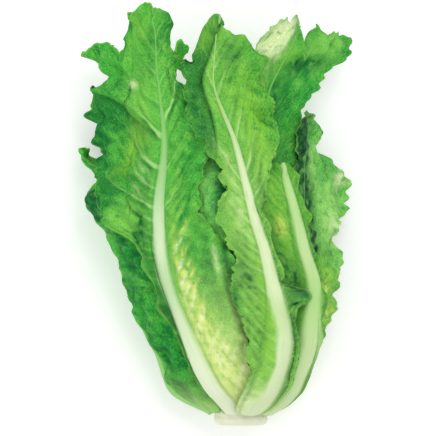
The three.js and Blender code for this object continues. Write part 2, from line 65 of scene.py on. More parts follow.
# Values at places between stations, on a smooth curve with these slopes.
def curve(stations, values, slopes, at):
    k = np.clip(np.searchsorted(stations, at) - 1, 0, len(stations) - 2)
    span = stations[k + 1] - stations[k]
    s = (at - stations[k]) / span
    if values.ndim > 1:
        span, s = span[:, None], s[:, None]
    blend = s * s * (3 - 2 * s)
    bend = slopes[k] * s * (1 - s) ** 2 - slopes[k + 1] * s * s * (1 - s)
    return values[k] * (1 - blend) + values[k + 1] * blend + span * bend


# The same through [place, value] pairs, flat beyond its ends.
def along(pairs, at):
    stations, values = np.array(pairs, float).T
    slopes = np.gradient(values, stations)
    slopes[1:-1] = (values[2:] - values[:-2]) / (stations[2:] - stations[:-2])
    return curve(stations, values, slopes, np.clip(at, stations[0], stations[-1]))


def ramp(low, high, x):
    s = np.clip((x - low) / (high - low), 0, 1)
    return s * s * (3 - 2 * s)


# A soft bump: 1 at its middle, and nearly gone two widths away.
def bump(x, width, power=2):
    return np.exp(-((x / width) ** power))


def liftOf(turn):
    up = np.cos(turn)
    return np.where(up >= 0, up, up * (1 - head["pressed"] * up * up))


def narrowing(turn, t):
    return 1 - along(head["drawnIn"], t) * (0.5 + 0.5 * np.sin(turn))


# From head coordinates to the frame's, in millimetres.
def headPoint(turn, t, radius):
    beyond = np.maximum(0, radius - head["cutRadius"]) * (1 - along(head["closedIn"], t))
    radius = (radius - beyond) * narrowing(turn, t)
    x = along(head["middleX"], t) + head["sideways"] * radius * np.sin(turn)
    z = along(head["middleZ"], t) + radius * liftOf(turn)
    return np.stack([x, head["cutFaceY"] + head["length"] * t, z], axis=-1)


# And back.
def headPlace(points):
    t = (points[:, 1] - head["cutFaceY"]) / head["length"]
    side = (points[:, 0] - along(head["middleX"], t)) / head["sideways"]
    rise = points[:, 2] - along(head["middleZ"], t)
    up = rise.copy()
    for _ in range(head["rounds"]):
        cosine = up / np.maximum(np.hypot(side, up), tiny)
        up = np.where(rise >= 0, rise, rise / (1 - head["pressed"] * cosine**2))
    turn = np.arctan2(side, up)
    radius = np.hypot(side, up) / narrowing(turn, t)
    beyond = np.maximum(0, radius - head["cutRadius"]) * (1 / along(head["closedIn"], t) - 1)
    return turn, t, radius + beyond


# The leaves, from the heart outwards, as they are in the frame.
broadRib = [[0.03, 8], [0.08, 9.5], [0.17, 9.5], [0.3, 6], [0.45, 4], [0.65, 2.3], [0.8, 1.3], [1, 0.9]]
flatRib = [[0.03, 6.5], [0.08, 8], [0.17, 8.5], [0.3, 7.5], [0.45, 6.5], [0.65, 4], [1, 1.5]]
plainRib = [[0.03, 6.5], [0.08, 7.5], [0.17, 7], [0.3, 5], [0.5, 3], [0.7, 1.6], [1, 0.9]]
slimRib = [[0.06, 5], [0.12, 5.5], [0.25, 4.5], [0.5, 2.2], [0.7, 1.2], [1, 0.8]]


def shareOfBody(share):
    return [[t, radius * share] for t, radius in head["body"]]


def bothSides(value):
    return {"left": value, "right": value}


# What a leaf has unless it says otherwise. Pairs in a list are a place and a value, mostly t and millimetres.
# The first four are as in the frame, as are a leaf's rows, blades, start, crown, turn, left, right and reach.
plainLeaf = {
    "open": [0, 0],  # how far each side lies flatter than the head is round
    "opensFrom": 0.2,
    "rib": plainRib,
    "ribSteps": 2,
    # the rest is the leaf's dress
    "grain": 1.6,  # between the points of the sheet
    "blade": 0.75,  # thickness
    "frill": 2.6,  # height of the ruffle at the margin
    "tooth": 1.5,  # how far the edge wanders
    "lobes": {},  # by edge: place, how far out, width and perhaps how far up
    "calm": bothSides([0.08, 0.25]),  # where a side's ruffle and teeth set in
    "blister": 0.7,  # depth of the puckers
    "smooth": bothSides([[0, 0], [1, 0]]),  # share of the puckers that a side does without
    "lift": [[0, 0], [1, 0]],  # of the whole blade, off where the frame has it
    "room": 0.5,  # share of the gap to the leaf above that a ruffle may take
    "folds": [],  # along a line of t over x or x over t, with where each sets in and ends
    "ribLook": [[0.03, 6.5], [0.08, 7.5], [0.17, 7], [0.3, 5], [0.5, 3], [0.7, 1.6], [1, 0.6]],  # half width
    "ribGreen": [[0.05, 0], [0.3, 0.3], [0.55, 0.75], [0.8, 1]],
    "ribLeft": [[0, 1], [1, 1]],  # how far the rib's colour reaches on its left, the rest of it painted in shade with the blade's colours
    "veins": [[0, 6], [0.35, 7], [0.6, 9], [1, 10]],  # gaps between side veins
    "main": bothSides([]),  # t and strength of the strong ones
    "lean": bothSides([[0, 0.6], [0.3, 0.9], [0.6, 1.1], [1, 1.5]]),  # how steeply they leave the rib
    "sweep": 0.002,  # how they bend upwards
    "mottle": 1.0,  # strength of the light and dark blots
    "pale": [[0.04, 1], [0.12, 0.75], [0.25, 0.45], [0.45, 0.15], [0.7, 0]],
    "paleSides": [1, 1],  # share of that on the left and on the right
    "patches": {},  # by tone: t, place across, length, width, strength
    "strokes": {},  # rows by tone: t from and to, count, place across, length, width, strength, lean
}
leaves = []


def addLeaf(**facts):
    leaves.append({**plainLeaf, "seed": 11 + 7 * len(leaves), **facts})


for k in range(3):
    tip = 0.6 + 0.03 * k
    width = [[0.15, 6], [0.3, 17], [0.5, 21], [0.7, 15]]
    addLeaf(
        name=f"heart_leaf_{k + 1}", look="heart", rows=9, blades=3, ribSteps=1, start=0.155, rib=slimRib,
        crown=[[-1, tip - 0.09], [0, tip], [1, tip - 0.09]],
        turn=[[0.15, 50 + 120 * k], [0.6, 62 + 120 * k]], left=width, right=width,
        reach=[[0.15, 10], [0.4, 13], [0.6, 11]], grain=2.4, frill=1.4, ribLook=slimRib,
    )

for k in range(4):
    tip = 0.7 + 0.025 * ((k * 3) % 4)
    width = [[0.1, 8], [0.2, 20], [0.45, 32], [0.65, 33], [0.8, 26]]
    addLeaf(
        name=f"inner_leaf_{k + 1}", look="inner", rows=12, blades=3, ribSteps=1, start=0.105, rib=slimRib,
        crown=[[-1, tip - 0.09], [-0.4, tip - 0.01], [0, tip], [0.4, tip - 0.01], [1, tip - 0.09]],
        turn=[[0.1, 8 + 90 * k], [0.7, 18 + 90 * k]], left=width, right=width, reach=shareOfBody(0.5),
        grain=2.4, frill=2, ribLook=slimRib,
    )

for k, (turn, tip) in enumerate([[-75, 0.8], [-135, 0.76], [165, 0.74], [98, 0.8]]):
    width = [[0.06, 8], [0.15, 20], [0.35, 36], [0.6, 42], [0.8, 32]]
    addLeaf(
        name=f"middle_leaf_{k + 1}", look="middle", rows=13, blades=3, start=0.066,
        crown=[[-1, tip - 0.1], [-0.5, tip - 0.02], [0, tip], [0.5, tip - 0.02], [1, tip - 0.1]],
        turn=[[0.06, turn], [0.8, turn + 5]], left=width, right=width, reach=shareOfBody(0.74), grain=2,
    )

addLeaf(
    name="middle_leaf_front", look="middle_front", rows=20, blades=4, start=0.066,
    crown=[[-1, 0.68], [-0.5, 0.75], [0, 0.78], [0.5, 0.76], [1, 0.7]],
    turn=[[0.06, -16], [0.3, -26], [0.5, -32], [0.8, -28]],
    left=[[0.06, 8], [0.15, 18], [0.35, 26], [0.6, 28], [0.78, 22]],
    right=[[0.06, 8], [0.15, 18], [0.35, 34], [0.6, 40], [0.78, 30]],
    reach=[[0.06, 19], [0.1, 27], [0.17, 33], [0.33, 45], [0.5, 50], [0.66, 47], [0.8, 45]],
    open=[0.1, 0.1], grain=1.3, room=0.85, lift=[[0.3, 0], [0.42, 3.5], [0.65, 3.5], [0.75, 1]],
    pale=[[0.04, 1], [0.2, 0.3], [0.35, 0]],
    patches={
        "dark": [[0.55, 26, 30, 5, 0.9]],
        "light": [[0.5, 14, 24, 7, 0.5], [0.6, 12, 10, 6, 0.6]],
    },
)

addLeaf(
    name="tall_leaf_right", look="tall", rows=26, blades=5, start=0.066,
    crown=[[-1, 0.93], [-0.8, 0.948], [-0.5, 0.96], [-0.2, 0.966], [0, 0.95], [0.14, 0.905], [0.28, 0.91],
           [0.4, 0.94], [0.55, 0.915], [0.75, 0.905], [0.88, 0.915], [1, 0.91]],
    turn=[[0.06, 34], [0.15, 35], [0.3, 36], [0.5, 34], [0.62, 33], [0.77, 35], [0.85, 43], [0.92, 51],
          [0.97, 53]],
    left=[[0.06, 8], [0.2, 22], [0.4, 28], [0.6, 28], [0.75, 26], [0.85, 28], [0.97, 28]],
    right=[[0.06, 8], [0.2, 22], [0.4, 26], [0.6, 28], [0.66, 30], [0.7, 32], [0.76, 36], [0.81, 47],
           [0.86, 58], [0.9, 66], [0.92, 67], [0.97, 62]],
    reach=[[0.06, 18], [0.1, 27], [0.2, 36], [0.33, 42], [0.5, 45], [0.66, 47], [0.8, 55], [0.9, 65],
           [0.97, 70]],
    open=[0.3, 0.7], grain=1.15, frill=3, tooth=1.8,
    ribLook=[[0.06, 7], [0.3, 4.5], [0.6, 2], [0.8, 1], [0.9, 0.5], [1, 0.3]],
    lobes={
        "top": [[-31, 11, 4], [-18, 2, 3], [-11, -3, 2], [-6, 2, 2], [9, -13, 3.5], [21, 7, 4], [30, -2, 3],
                [38, 5, 4], [52, 7, 8]],
    },
    veins=[[0, 8], [0.7, 12], [1, 11]],
    # The narrow dark bands across it near the top are painted shade below its curled top lobes.
    patches={
        "cream": [[0.905, -19, 12, 10, 1.9], [0.94, -12, 8, 7, 0.8]],
        "dark": [[0.848, 18, 6, 13, 1], [0.862, 36, 5, 10, 0.6], [0.79, 4, 16, 12, 0.45],
                 [0.68, 6, 22, 6, 0.8]],
        "light": [[0.885, 22, 5, 16, 0.7], [0.9, 46, 11, 10, 0.8], [0.915, 34, 9, 11, 1.1]],
        "yellow": [[0.7, -9, 26, 4, 0.8]],
        "lime": [[0.87, -2, 10, 10, 0.5]],
    },
)

for name, turn, tip in [["under_leaf_left", -141, 0.72], ["under_leaf_right", 147, 0.74]]:
    width = [[0.03, 6.5], [0.07, 8], [0.12, 17], [0.25, 32], [0.5, 42], [0.7, 36]]
    twist = math.copysign(2, turn)
    addLeaf(
        name=name, look="under", rows=14, blades=3, start=0.03,
        crown=[[-1, tip - 0.1], [-0.5, tip - 0.02], [0, tip], [0.5, tip - 0.02], [1, tip - 0.1]],
        turn=[[0.03, turn], [0.2, turn + twist], [0.8, turn + 2 * twist]], left=width, right=width,
        reach=shareOfBody(1), grain=1.7,
    )

addLeaf(
    name="outer_leaf_left", look="outer_left", rows=20, blades=4, start=0.03,
    crown=[[-1, 0.55], [-0.6, 0.62], [-0.2, 0.655], [0.3, 0.65], [0.7, 0.62], [1, 0.58]],
    turn=[[0.03, -95], [0.1, -99], [0.3, -105], [0.5, -107], [0.65, -105]],
    left=[[0.03, 7], [0.07, 8.5], [0.12, 16], [0.3, 26], [0.5, 24], [0.65, 20]],
    right=[[0.03, 16], [0.05, 25], [0.08, 29], [0.12, 33], [0.2, 42], [0.4, 56], [0.55, 50], [0.65, 32]],
    reach=[[0.03, 24], [0.04, 29], [0.05, 33.5], [0.07, 39.5], [0.09, 44.5], [0.13, 49], [0.17, 52.5],
           [0.23, 61], [0.32, 66], [0.42, 66], [0.47, 72], [0.5, 78], [0.55, 83], [0.59, 76], [0.625, 86],
           [0.66, 88]],
    open=[-0.9, -1.15], opensFrom=-0.4, grain=1.15, blister=1.5, mottle=1.9, tooth=1.2,
    pale=[[0.04, 0.8], [0.09, 0.25], [0.14, 0]],
    # The long dark bands on its right side, beside the front leaf's rib, are painted shade; the smaller ones
    # are the leaf's own blotches.
    patches={
        "dark": [[0.42, 40, 45, 9, 0.6], [0.25, 30, 45, 7, 0.45], [0.6, 18, 14, 8, 0.5],
                 [0.13, 20, 24, 5, 0.7], [0.07, 14, 12, 7, 0.7], [0.2, 17, 10, 5, 0.7],
                 [0.33, 20, 14, 6, 0.6], [0.52, 30, 16, 9, 1]],
        "light": [[0.3, 8, 80, 6, 0.7], [0.13, 3, 30, 5, 0.8]],
    },
)

addLeaf(
    name="outer_leaf_right", look="outer_right", rows=25, blades=4, start=0.03, rib=flatRib,
    crown=[[-1, 0.69], [-0.5, 0.72], [0, 0.735], [0.4, 0.745], [0.7, 0.74], [1, 0.7]],
    turn=[[0.03, 62], [0.1, 58], [0.2, 59], [0.5, 61], [0.62, 66], [0.76, 70]],
    left=[[0.03, 6.5], [0.07, 8], [0.12, 13], [0.25, 22], [0.45, 24], [0.55, 16], [0.62, 12], [0.68, 13],
          [0.76, 13]],
    right=[[0.03, 8], [0.05, 12], [0.07, 13], [0.12, 15], [0.18, 19], [0.23, 22], [0.27, 29], [0.3, 34],
           [0.34, 31], [0.36, 34], [0.39, 47], [0.42, 42], [0.46, 37], [0.49, 45], [0.53, 62], [0.57, 57],
           [0.6, 52], [0.63, 43], [0.66, 30], [0.7, 33], [0.76, 24]],
    reach=[[0.03, 25], [0.05, 32], [0.1, 38], [0.2, 44.5], [0.33, 50.5], [0.5, 52.5], [0.6, 52],
           [0.76, 50]],
    open=[0, 1.4], opensFrom=-0.2, grain=1.1, frill=2.4, tooth=1.8, blister=1,
    ribLook=[[0.03, 6], [0.2, 5], [0.3, 3.4], [0.4, 2], [0.5, 1], [0.6, 0.6], [0.76, 0.4]],
    pale=[[0.04, 1], [0.1, 0.5], [0.2, 0.1], [0.3, 0]],
    # The dark patches along its rib and left side are painted shade in the hollow beside the front right
    # leaf's rib.
    patches={
        "dark": [[0.67, -7, 32, 9, 1.6], [0.7, 4, 14, 5, 0.8], [0.53, 3, 26, 7, 0.9], [0.4, 8, 50, 6, 0.8]],
        "light": [[0.62, 12, 15, 8, 0.9], [0.53, 34, 16, 18, 0.9], [0.46, 28, 13, 12, 1],
                  [0.39, 42, 12, 9, 0.7]],
        "cream": [[0.585, 46, 7, 7, 0.7], [0.475, 32, 8, 8, 0.4]],
        "lime": [[0.34, 18, 22, 9, 0.8]],
        "yellow": [[0.29, 22, 16, 9, 0.6]],
    },
    lobes={
        "right": [[0.468, -6, 5], [0.375, 5, 4], [0.245, 4, 12], [0.1, -6, 18]],
    },
)

addLeaf(
    name="front_leaf_right", look="front_right", rows=18, blades=4, start=0.03,
    crown=[[-1, 0.6], [-0.6, 0.618], [-0.2, 0.622], [0.3, 0.615], [1, 0.59]],
    turn=[[0.03, 45], [0.1, 43], [0.17, 45.5], [0.25, 47], [0.33, 50], [0.42, 45.5], [0.5, 44], [0.62, 40]],
    left=[[0.03, 6], [0.07, 8], [0.12, 14], [0.2, 22], [0.3, 28], [0.4, 34], [0.475, 36], [0.54, 29],
          [0.6, 19], [0.62, 15]],
    right=[[0.03, 6], [0.1, 8], [0.15, 7], [0.2, 7.5], [0.3, 8.5], [0.62, 8]],
    reach=shareOfBody(1), open=[0.1, 0], grain=1.05, blister=1.1,
    ribLook=[[0.03, 6], [0.1, 7], [0.2, 7.6], [0.3, 6.6], [0.4, 5.4], [0.5, 4], [0.57, 2.8], [0.62, 2]],
    calm={"left": [0.1, 0.3], "right": [0.62, 0.8]},
    lean=bothSides([[0, 1.0], [0.6, 1.6]]),
    pale=[[0.04, 0.9], [0.1, 0.4], [0.2, 0.05], [0.3, 0]],
    ribGreen=[[0.05, 0], [0.18, 0.2], [0.26, 0.85], [0.34, 0.9], [0.4, 0.5], [0.5, 0.8], [0.62, 1]],
    strokes={
        "light": [[0.28, 0.52, 7, -9, 13, 1.5, 0.6, -0.6]],
        "dark": [[0.26, 0.52, 7, -12, 13, 1.5, 0.4, -0.6]],
    },
    ribLeft=[[0.05, 0.9], [0.12, 0.75], [0.2, 0.6], [0.35, 0.55], [0.5, 0.8], [0.6, 1]],
    patches={
        "lime": [[0.48, -16, 36, 9, 0.45]],
        "yellow": [[0.474, -11.4, 6, 4, 0.8]],
        "light": [[0.57, -14, 10, 10, 0.5], [0.41, -7, 30, 3, 0.7]],
        "dark": [[0.34, -12, 20, 6, 0.7], [0.25, -10, 22, 3, 0.8], [0.39, -24, 22, 5, 0.6],
                 [0.47, -20, 24, 5, 0.3]],
    },
)

addLeaf(
    name="under_leaf_middle", look="under", rows=17, blades=4, start=0.03, rib=flatRib,
    crown=[[-1, 0.68], [-0.5, 0.76], [0, 0.79], [0.5, 0.77], [1, 0.7]],
    turn=[[0.03, 185], [0.2, 182.3], [0.42, 181.8], [0.8, 180]],
    left=[[0.03, 6.5], [0.07, 8], [0.12, 15], [0.25, 26], [0.5, 32], [0.78, 27]],
    right=[[0.03, 6.5], [0.07, 8], [0.12, 16], [0.25, 28], [0.5, 36], [0.78, 31]],
    reach=[[0.03, 20], [0.1, 36], [0.17, 46], [0.33, 56], [0.5, 58], [0.66, 57], [0.8, 56]],
    grain=1.5, ribLook=flatRib,
)

addLeaf(
    name="front_leaf_left", look="front_left", rows=26, blades=5, start=0.03, rib=broadRib,
    crown=[[-1, 0.875], [-0.85, 0.9], [-0.68, 0.905], [-0.55, 0.885], [-0.48, 0.875], [-0.42, 0.925],
           [-0.33, 0.965], [-0.15, 0.997], [0.1, 0.985], [0.35, 0.968], [0.5, 0.925], [0.62, 0.902],
           [0.75, 0.908], [0.88, 0.9], [1, 0.875]],
    turn=[[0.03, -21], [0.1, -35], [0.17, -43], [0.33, -52], [0.5, -48.5], [0.66, -40], [0.8, -39],
          [1, -36]],
    left=[[0.03, 8.5], [0.06, 9.5], [0.1, 10.5], [0.2, 10], [0.35, 7.5], [0.42, 8.5], [0.48, 23],
          [0.54, 34], [0.6, 44], [0.66, 50], [0.7, 57], [0.74, 65], [0.77, 59], [0.8, 47], [0.84, 47],
          [0.88, 60], [0.92, 63], [1, 63]],
    right=[[0.03, 8.5], [0.05, 14], [0.08, 23], [0.12, 31], [0.17, 37], [0.3, 47], [0.4, 50], [0.46, 38],
           [0.53, 28], [0.6, 31], [0.7, 33], [0.76, 27], [0.8, 18], [0.835, 14], [0.865, 18], [0.885, 24],
           [0.92, 26], [1, 26]],
    reach=[[0.03, 20], [0.1, 35], [0.17, 42], [0.33, 51], [0.5, 54], [0.66, 54], [0.8, 57], [1, 64]],
    open=[0.9, 0.3], grain=1.0, frill=3, tooth=1.7, blister=1.0, paleSides=[0.15, 1],
    smooth={"left": [[0, 0], [1, 0]], "right": [[0.1, 0.75], [0.28, 0.6], [0.4, 0]]},
    ribLook=[[0.03, 6.4], [0.08, 7.2], [0.17, 6.2], [0.24, 4.8], [0.32, 3.5], [0.42, 2.7], [0.5, 2.6],
             [0.6, 1.8], [0.7, 1.2], [0.78, 0.9], [0.85, 0.6], [0.92, 0.3], [1, 0.2]],
    calm={"left": [0.42, 0.52], "right": [0.05, 0.2]},
    lean={"left": [[0, 0.9], [0.4, 0.9], [0.6, 0.78], [0.7, 0.84], [0.8, 0.8], [1, 1.6]],
          "right": [[0, 2.8], [0.2, 2.7], [0.35, 2.2], [0.6, 1.6], [1, 1.8]]},
    veins=[[0, 5], [0.3, 5.5], [0.5, 8], [0.7, 11], [1, 12]],
    main={"left": [[0.475, 0.5], [0.506, 0.8], [0.557, 0.5], [0.609, 0.9], [0.687, 1], [0.76, 0.4],
                   [0.83, 0.4]],
          "right": [[0.5, 0.5], [0.6, 0.4], [0.72, 0.8], [0.8, 0.4]]},
    lobes={
        "top": [[15.5, -5, 2.6], [-1.5, -9, 2.5], [7.5, 1, 3], [19, 2, 4], [-17, -8, 3.4], [-24.5, 7, 4],
                [-31, 2, 3]],
        "left": [[0.572, -5, 7], [0.71, 5, 7], [0.765, -4, 7], [0.3, -3, 40]],
        "right": [[0.808, 4.5, 5]],
    },
    pale=[[0.04, 1], [0.1, 0.6], [0.25, 0.3], [0.4, 0.05], [0.6, 0]],
    folds=[{"along": "x", "left": True, "from": (5, 16), "to": (75, 62),
            "line": [[5, 0.684], [9, 0.698], [22, 0.738], [40, 0.778], [62, 0.82]],
            "turn": 3, "under": 2, "fade": 14, "lip": 1.4, "drop": 2.4, "dark": 9}],
    strokes={
        "cream": [[0.2, 0.43, 6, 9, 15, 1.7, 0.8, 0.6], [0.06, 0.2, 5, 12, 26, 1.8, 0.45, 0.8],
                  [0.52, 0.64, 5, -5, 11, 1.1, 0.35, -0.9]],
        "yellow": [[0.22, 0.46, 6, 12, 16, 1.8, 0.7, 0.6]],
        "lime": [[0.06, 0.24, 6, 14, 24, 1.6, 0.5, 0.8]],
        "dark": [[0.08, 0.42, 9, 12, 18, 1.5, 0.4, 0.6], [0.43, 0.66, 7, 9, 16, 1.4, 0.5, 0.5],
                 [0.4, 0.66, 8, -9, 16, 1.4, 0.45, -0.6], [0.7, 0.94, 7, -9, 15, 1.3, 0.45, -0.5],
                 [0.68, 0.94, 7, 8, 14, 1.3, 0.4, 0.5]],
        "light": [[0.44, 0.64, 6, 7, 16, 1.5, 0.8, 0.5], [0.42, 0.6, 7, -7, 14, 1.6, 0.8, -0.6],
                  [0.7, 0.92, 6, -6, 16, 1.3, 0.5, -0.5], [0.7, 0.92, 6, 6, 15, 1.3, 0.5, 0.5]],
    },
    # The thin dark patches along the right margin low down, where the middle leaf lies over it, are its
    # painted shadow. The long dark strip left of the rib is painted shade, and the small cream dot high on
    # the left is a painted highlight.
    patches={
        "cream": [[0.806, -22, 3, 3.6, 1.2], [0.1, 20, 22, 14, 0.3], [0.2, 14, 16, 5, 0.3],
                  [0.395, 38.5, 9, 2.2, 0.5]],
        "light": [[0.8, -17, 10, 9, 0.5], [0.68, -17, 14, 9, 0.8], [0.47, -14, 14, 10, 0.8],
                  [0.5, -12, 12, 7, 0.6], [0.76, -16, 26, 12, 0.5], [0.5, 30, 16, 6, 0.5],
                  [0.32, 37.5, 20, 2.6, 0.8]],
        "lime": [[0.69, -18, 14, 9, 0.8], [0.62, -25, 11, 6, 0.7], [0.94, -12, 12, 7, 0.6]],
        "dark": [[0.7, -58, 30, 12, 0.7], [0.63, -48, 24, 10, 0.6], [0.53, -33, 14, 9, 0.8],
                 [0.95, 14, 14, 7, 0.8], [0.91, -2, 7, 6, 0.5], [0.3, -7.5, 75, 4, 1.2],
                 [0.8, 22, 20, 5, 0.7], [0.72, 30, 20, 6, 0.6], [0.37, 33, 26, 3, 0.6],
                 [0.4, 43.5, 14, 2, 0.5], [0.36, 44.7, 16, 2.2, 1], [0.32, 41.7, 12, 1.8, 1],
                 [0.26, 40, 14, 2, 1], [0.215, 38.4, 12, 1.8, 1], [0.17, 33.2, 10, 2, 1],
                 [0.13, 29.4, 10, 1.8, 1]],
        "yellow": [[0.13, 17, 34, 13, 0.8], [0.33, 9, 40, 3, 0.5], [0.25, 16, 22, 4, 0.5],
                   [0.34, 17, 12, 3, 0.4]],
    },
    ribGreen=[[0.05, 0], [0.15, 0.05], [0.25, 0.25], [0.34, 0.45], [0.42, 0.2], [0.49, 0.33], [0.56, 0.65],
              [0.63, 0.8], [0.8, 1]],
)

addLeaf(
    name="front_leaf_middle", look="front_middle", rows=26, blades=5, start=0.03, rib=broadRib,
    crown=[[-1, 0.86], [-0.75, 0.9], [-0.45, 0.93], [-0.15, 0.958], [-0.03, 0.972], [0.1, 0.94],
           [0.3, 0.93], [0.5, 0.922], [0.75, 0.908], [0.9, 0.885], [1, 0.86]],
    turn=[[0.03, 10], [0.1, 17.5], [0.17, 21], [0.25, 22], [0.33, 19.5], [0.42, 17], [0.5, 13.5],
          [0.66, 8.5], [0.8, -1.5], [0.88, 0], [0.97, 3]],
    left=[[0.03, 8.5], [0.06, 8.5], [0.1, 10], [0.14, 11.5], [0.17, 16], [0.2, 18.5], [0.24, 17.5],
          [0.3, 25], [0.345, 23], [0.4, 18.5], [0.456, 22], [0.5, 23], [0.56, 15], [0.6, 15], [0.66, 20],
          [0.72, 25], [0.8, 20], [0.9, 18], [0.97, 18]],
    right=[[0.03, 8.5], [0.1, 10.5], [0.2, 10.5], [0.3, 8.5], [0.36, 7], [0.42, 6], [0.475, 6.5],
           [0.53, 10], [0.6, 18], [0.68, 28], [0.78, 33], [0.88, 32], [0.97, 30]],
    reach=[[0.03, 20], [0.1, 35], [0.17, 43], [0.33, 52], [0.5, 56], [0.66, 57], [0.8, 60], [0.97, 65]],
    open=[0.3, 0.3], grain=1.0, frill=2.4, tooth=1.6, blister=0.9,
    ribLook=[[0.03, 6], [0.06, 6.6], [0.12, 7.4], [0.18, 7.6], [0.24, 6.4], [0.3, 4.8], [0.34, 4],
             [0.38, 3.7], [0.45, 3.2], [0.5, 2.9], [0.6, 2.2], [0.72, 1.6], [0.8, 1], [0.84, 0.5],
             [1, 0.2]],
    calm={"left": [0.06, 0.2], "right": [0.42, 0.52]},
    lean={"left": [[0, 0.7], [0.3, 0.9], [0.5, 1.4], [0.7, 2.2], [1, 2.4]],
          "right": [[0, 1.2], [0.5, 1.6], [0.7, 1.9], [1, 2.2]]},
    veins=[[0, 5], [0.4, 6], [0.6, 9], [1, 11]],
    main={"left": [[0.3, 0.4], [0.345, 0.4], [0.39, 0.4], [0.47, 0.5], [0.52, 0.4], [0.57, 0.5],
                   [0.8, 0.4]],
          "right": [[0.52, 0.4], [0.6, 0.5], [0.67, 0.5], [0.78, 0.4]]},
    lobes={
        "top": [[-0.3, -9, 2.8], [-6.5, 6, 3.6], [-11, 6, 2.4], [-14.5, -8, 2.5], [-22, 2, 3], [24, -6, 5]],
        "left": [[0.83, 3, 8]],
        "right": [[0.311, 15, 7, 3], [0.336, -5, 3]],
    },
    pale=[[0.04, 0.9], [0.08, 0.35], [0.14, 0.08], [0.3, 0.05], [0.5, 0.12], [0.7, 0]],
    folds=[{"along": "t", "from": (0.6, 0.68), "to": (1.1, 1.05),
            "line": [[0.5, -13], [0.557, -15], [0.603, -15], [0.65, -13], [0.741, -7.2], [0.81, -6.5],
                     [0.9, -1], [0.96, 2.5], [1, 3]],
            "turn": 3, "under": 2, "fade": 12, "lip": 1.2, "drop": 2.6, "dark": 4}],
    strokes={
        "cream": [[0.42, 0.62, 8, -5, 13, 1.2, 0.4, -0.45]],
        "light": [[0.4, 0.65, 8, -7, 15, 1.3, 0.5, -0.45], [0.13, 0.43, 13, -8, 15, 1.2, 0.75, -0.6],
                  [0.14, 0.42, 10, -15, 12, 1.2, 0.6, -0.5], [0.55, 0.85, 8, 5, 18, 1.6, 0.7, 0.45]],
        "dark": [[0.42, 0.66, 9, -6, 13, 1.1, 0.12, -0.45], [0.14, 0.44, 13, -8, 15, 1.2, 0.5, -0.6],
                 [0.12, 0.4, 10, -15, 12, 1.2, 0.4, -0.5], [0.5, 0.85, 8, 8, 16, 1.4, 0.4, 0.45]],
    },
    # The thin dark patch along its left margin low down is a painted shadow line.
    patches={
        "lime": [[0.19, -4, 50, 4.5, 0.95], [0.32, -6, 26, 3, 0.6], [0.66, 15, 50, 7, 0.6],
                 [0.76, 22, 20, 8, 0.5], [0.925, -8, 12, 6, 0.9]],
        "light": [[0.2, -13, 40, 4.5, 0.55], [0.3, -16, 30, 6, 0.4], [0.5, -9, 50, 8, 0.9],
                  [0.62, 13, 30, 6, 0.7], [0.93, 10, 8, 10, 0.5]],
        "dark": [[0.28, -24, 30, 3.5, 0.8], [0.35, -13, 24, 5, 0.3], [0.54, 9, 24, 4, 0.3],
                 [0.878, 10, 11, 8, 0.5], [0.86, -9, 10, 4, 0.4], [0.745, -17, 20, 4, 0.8],
                 [0.3, 9, 40, 3, 0.6], [0.312, 18, 7, 9, 0.8]],
        "cream": [[0.045, -10, 14, 10, 1]],
    },
    ribLeft=[[0.05, 0.9], [0.09, 0.3], [0.14, 0.15], [0.2, 0.2], [0.26, 0.5], [0.32, 0.9], [0.4, 1]],
    ribGreen=[[0.05, 0], [0.2, 0.1], [0.27, 0.4], [0.33, 0], [0.6, 0.1], [0.68, 0.5], [0.76, 1]],
)

ribShare = 0.25  # of the way from the rib's middle to the margin, in c
spacing = {"down": 1.05, "rib": 0.8, "blade": 1.15}  # how the frame's places crowd together
opening = 0.5  # t over which a leaf opens
leastBlade = 0.5  # beside the rib, in millimetres


# Where a leaf's places are: down runs from 0 at its base to 1 at its top edge, c from -1 to 1 across it.
def places(leaf, down, c):
    down, c = np.meshgrid(down, c, indexing="ij")
    past = np.maximum(0, (np.abs(c) - ribShare) / (1 - ribShare))
    top = along(leaf["crown"], np.sign(c) * past)
    t = leaf["start"] + (top - leaf["start"]) * down
    rib = along(leaf["rib"], t)
    width = np.maximum(np.where(c < 0, along(leaf["left"], t), along(leaf["right"], t)), rib + leastBlade)
    return {"c": c, "past": past, "top": top, "t": t, "width": width,
            "x": np.sign(c) * (np.minimum(1, np.abs(c) / ribShare) * rib + past * (width - rib))}


def turnOf(leaf, t, c, x):
    reach = along(leaf["reach"], t)
    opened = np.where(c < 0, *leaf["open"]) * ramp(leaf["opensFrom"], leaf["opensFrom"] + opening, t)
    bend = x / (reach * (1 + (head["sideways"] - 1) / 2))
    return np.radians(along(leaf["turn"], t)) + (1 - opened) * bend + opened * np.arctan(bend)


# The frame's own places across a leaf.
def coarseColumns(leaf):
    rib = [ribShare * ((k + 1) / leaf["ribSteps"]) ** spacing["rib"] for k in range(leaf["ribSteps"])]
    blade = [ribShare + (1 - ribShare) * (1 - (1 - (k + 1) / leaf["blades"]) ** spacing["blade"])
             for k in range(leaf["blades"])]
    half = np.array(rib + blade)
    return np.concatenate([-half[::-1], [0], half])


nearPlace = {"slack": 0.05, "reach": 0.4}  # how close a vertex of the frame lies to its place


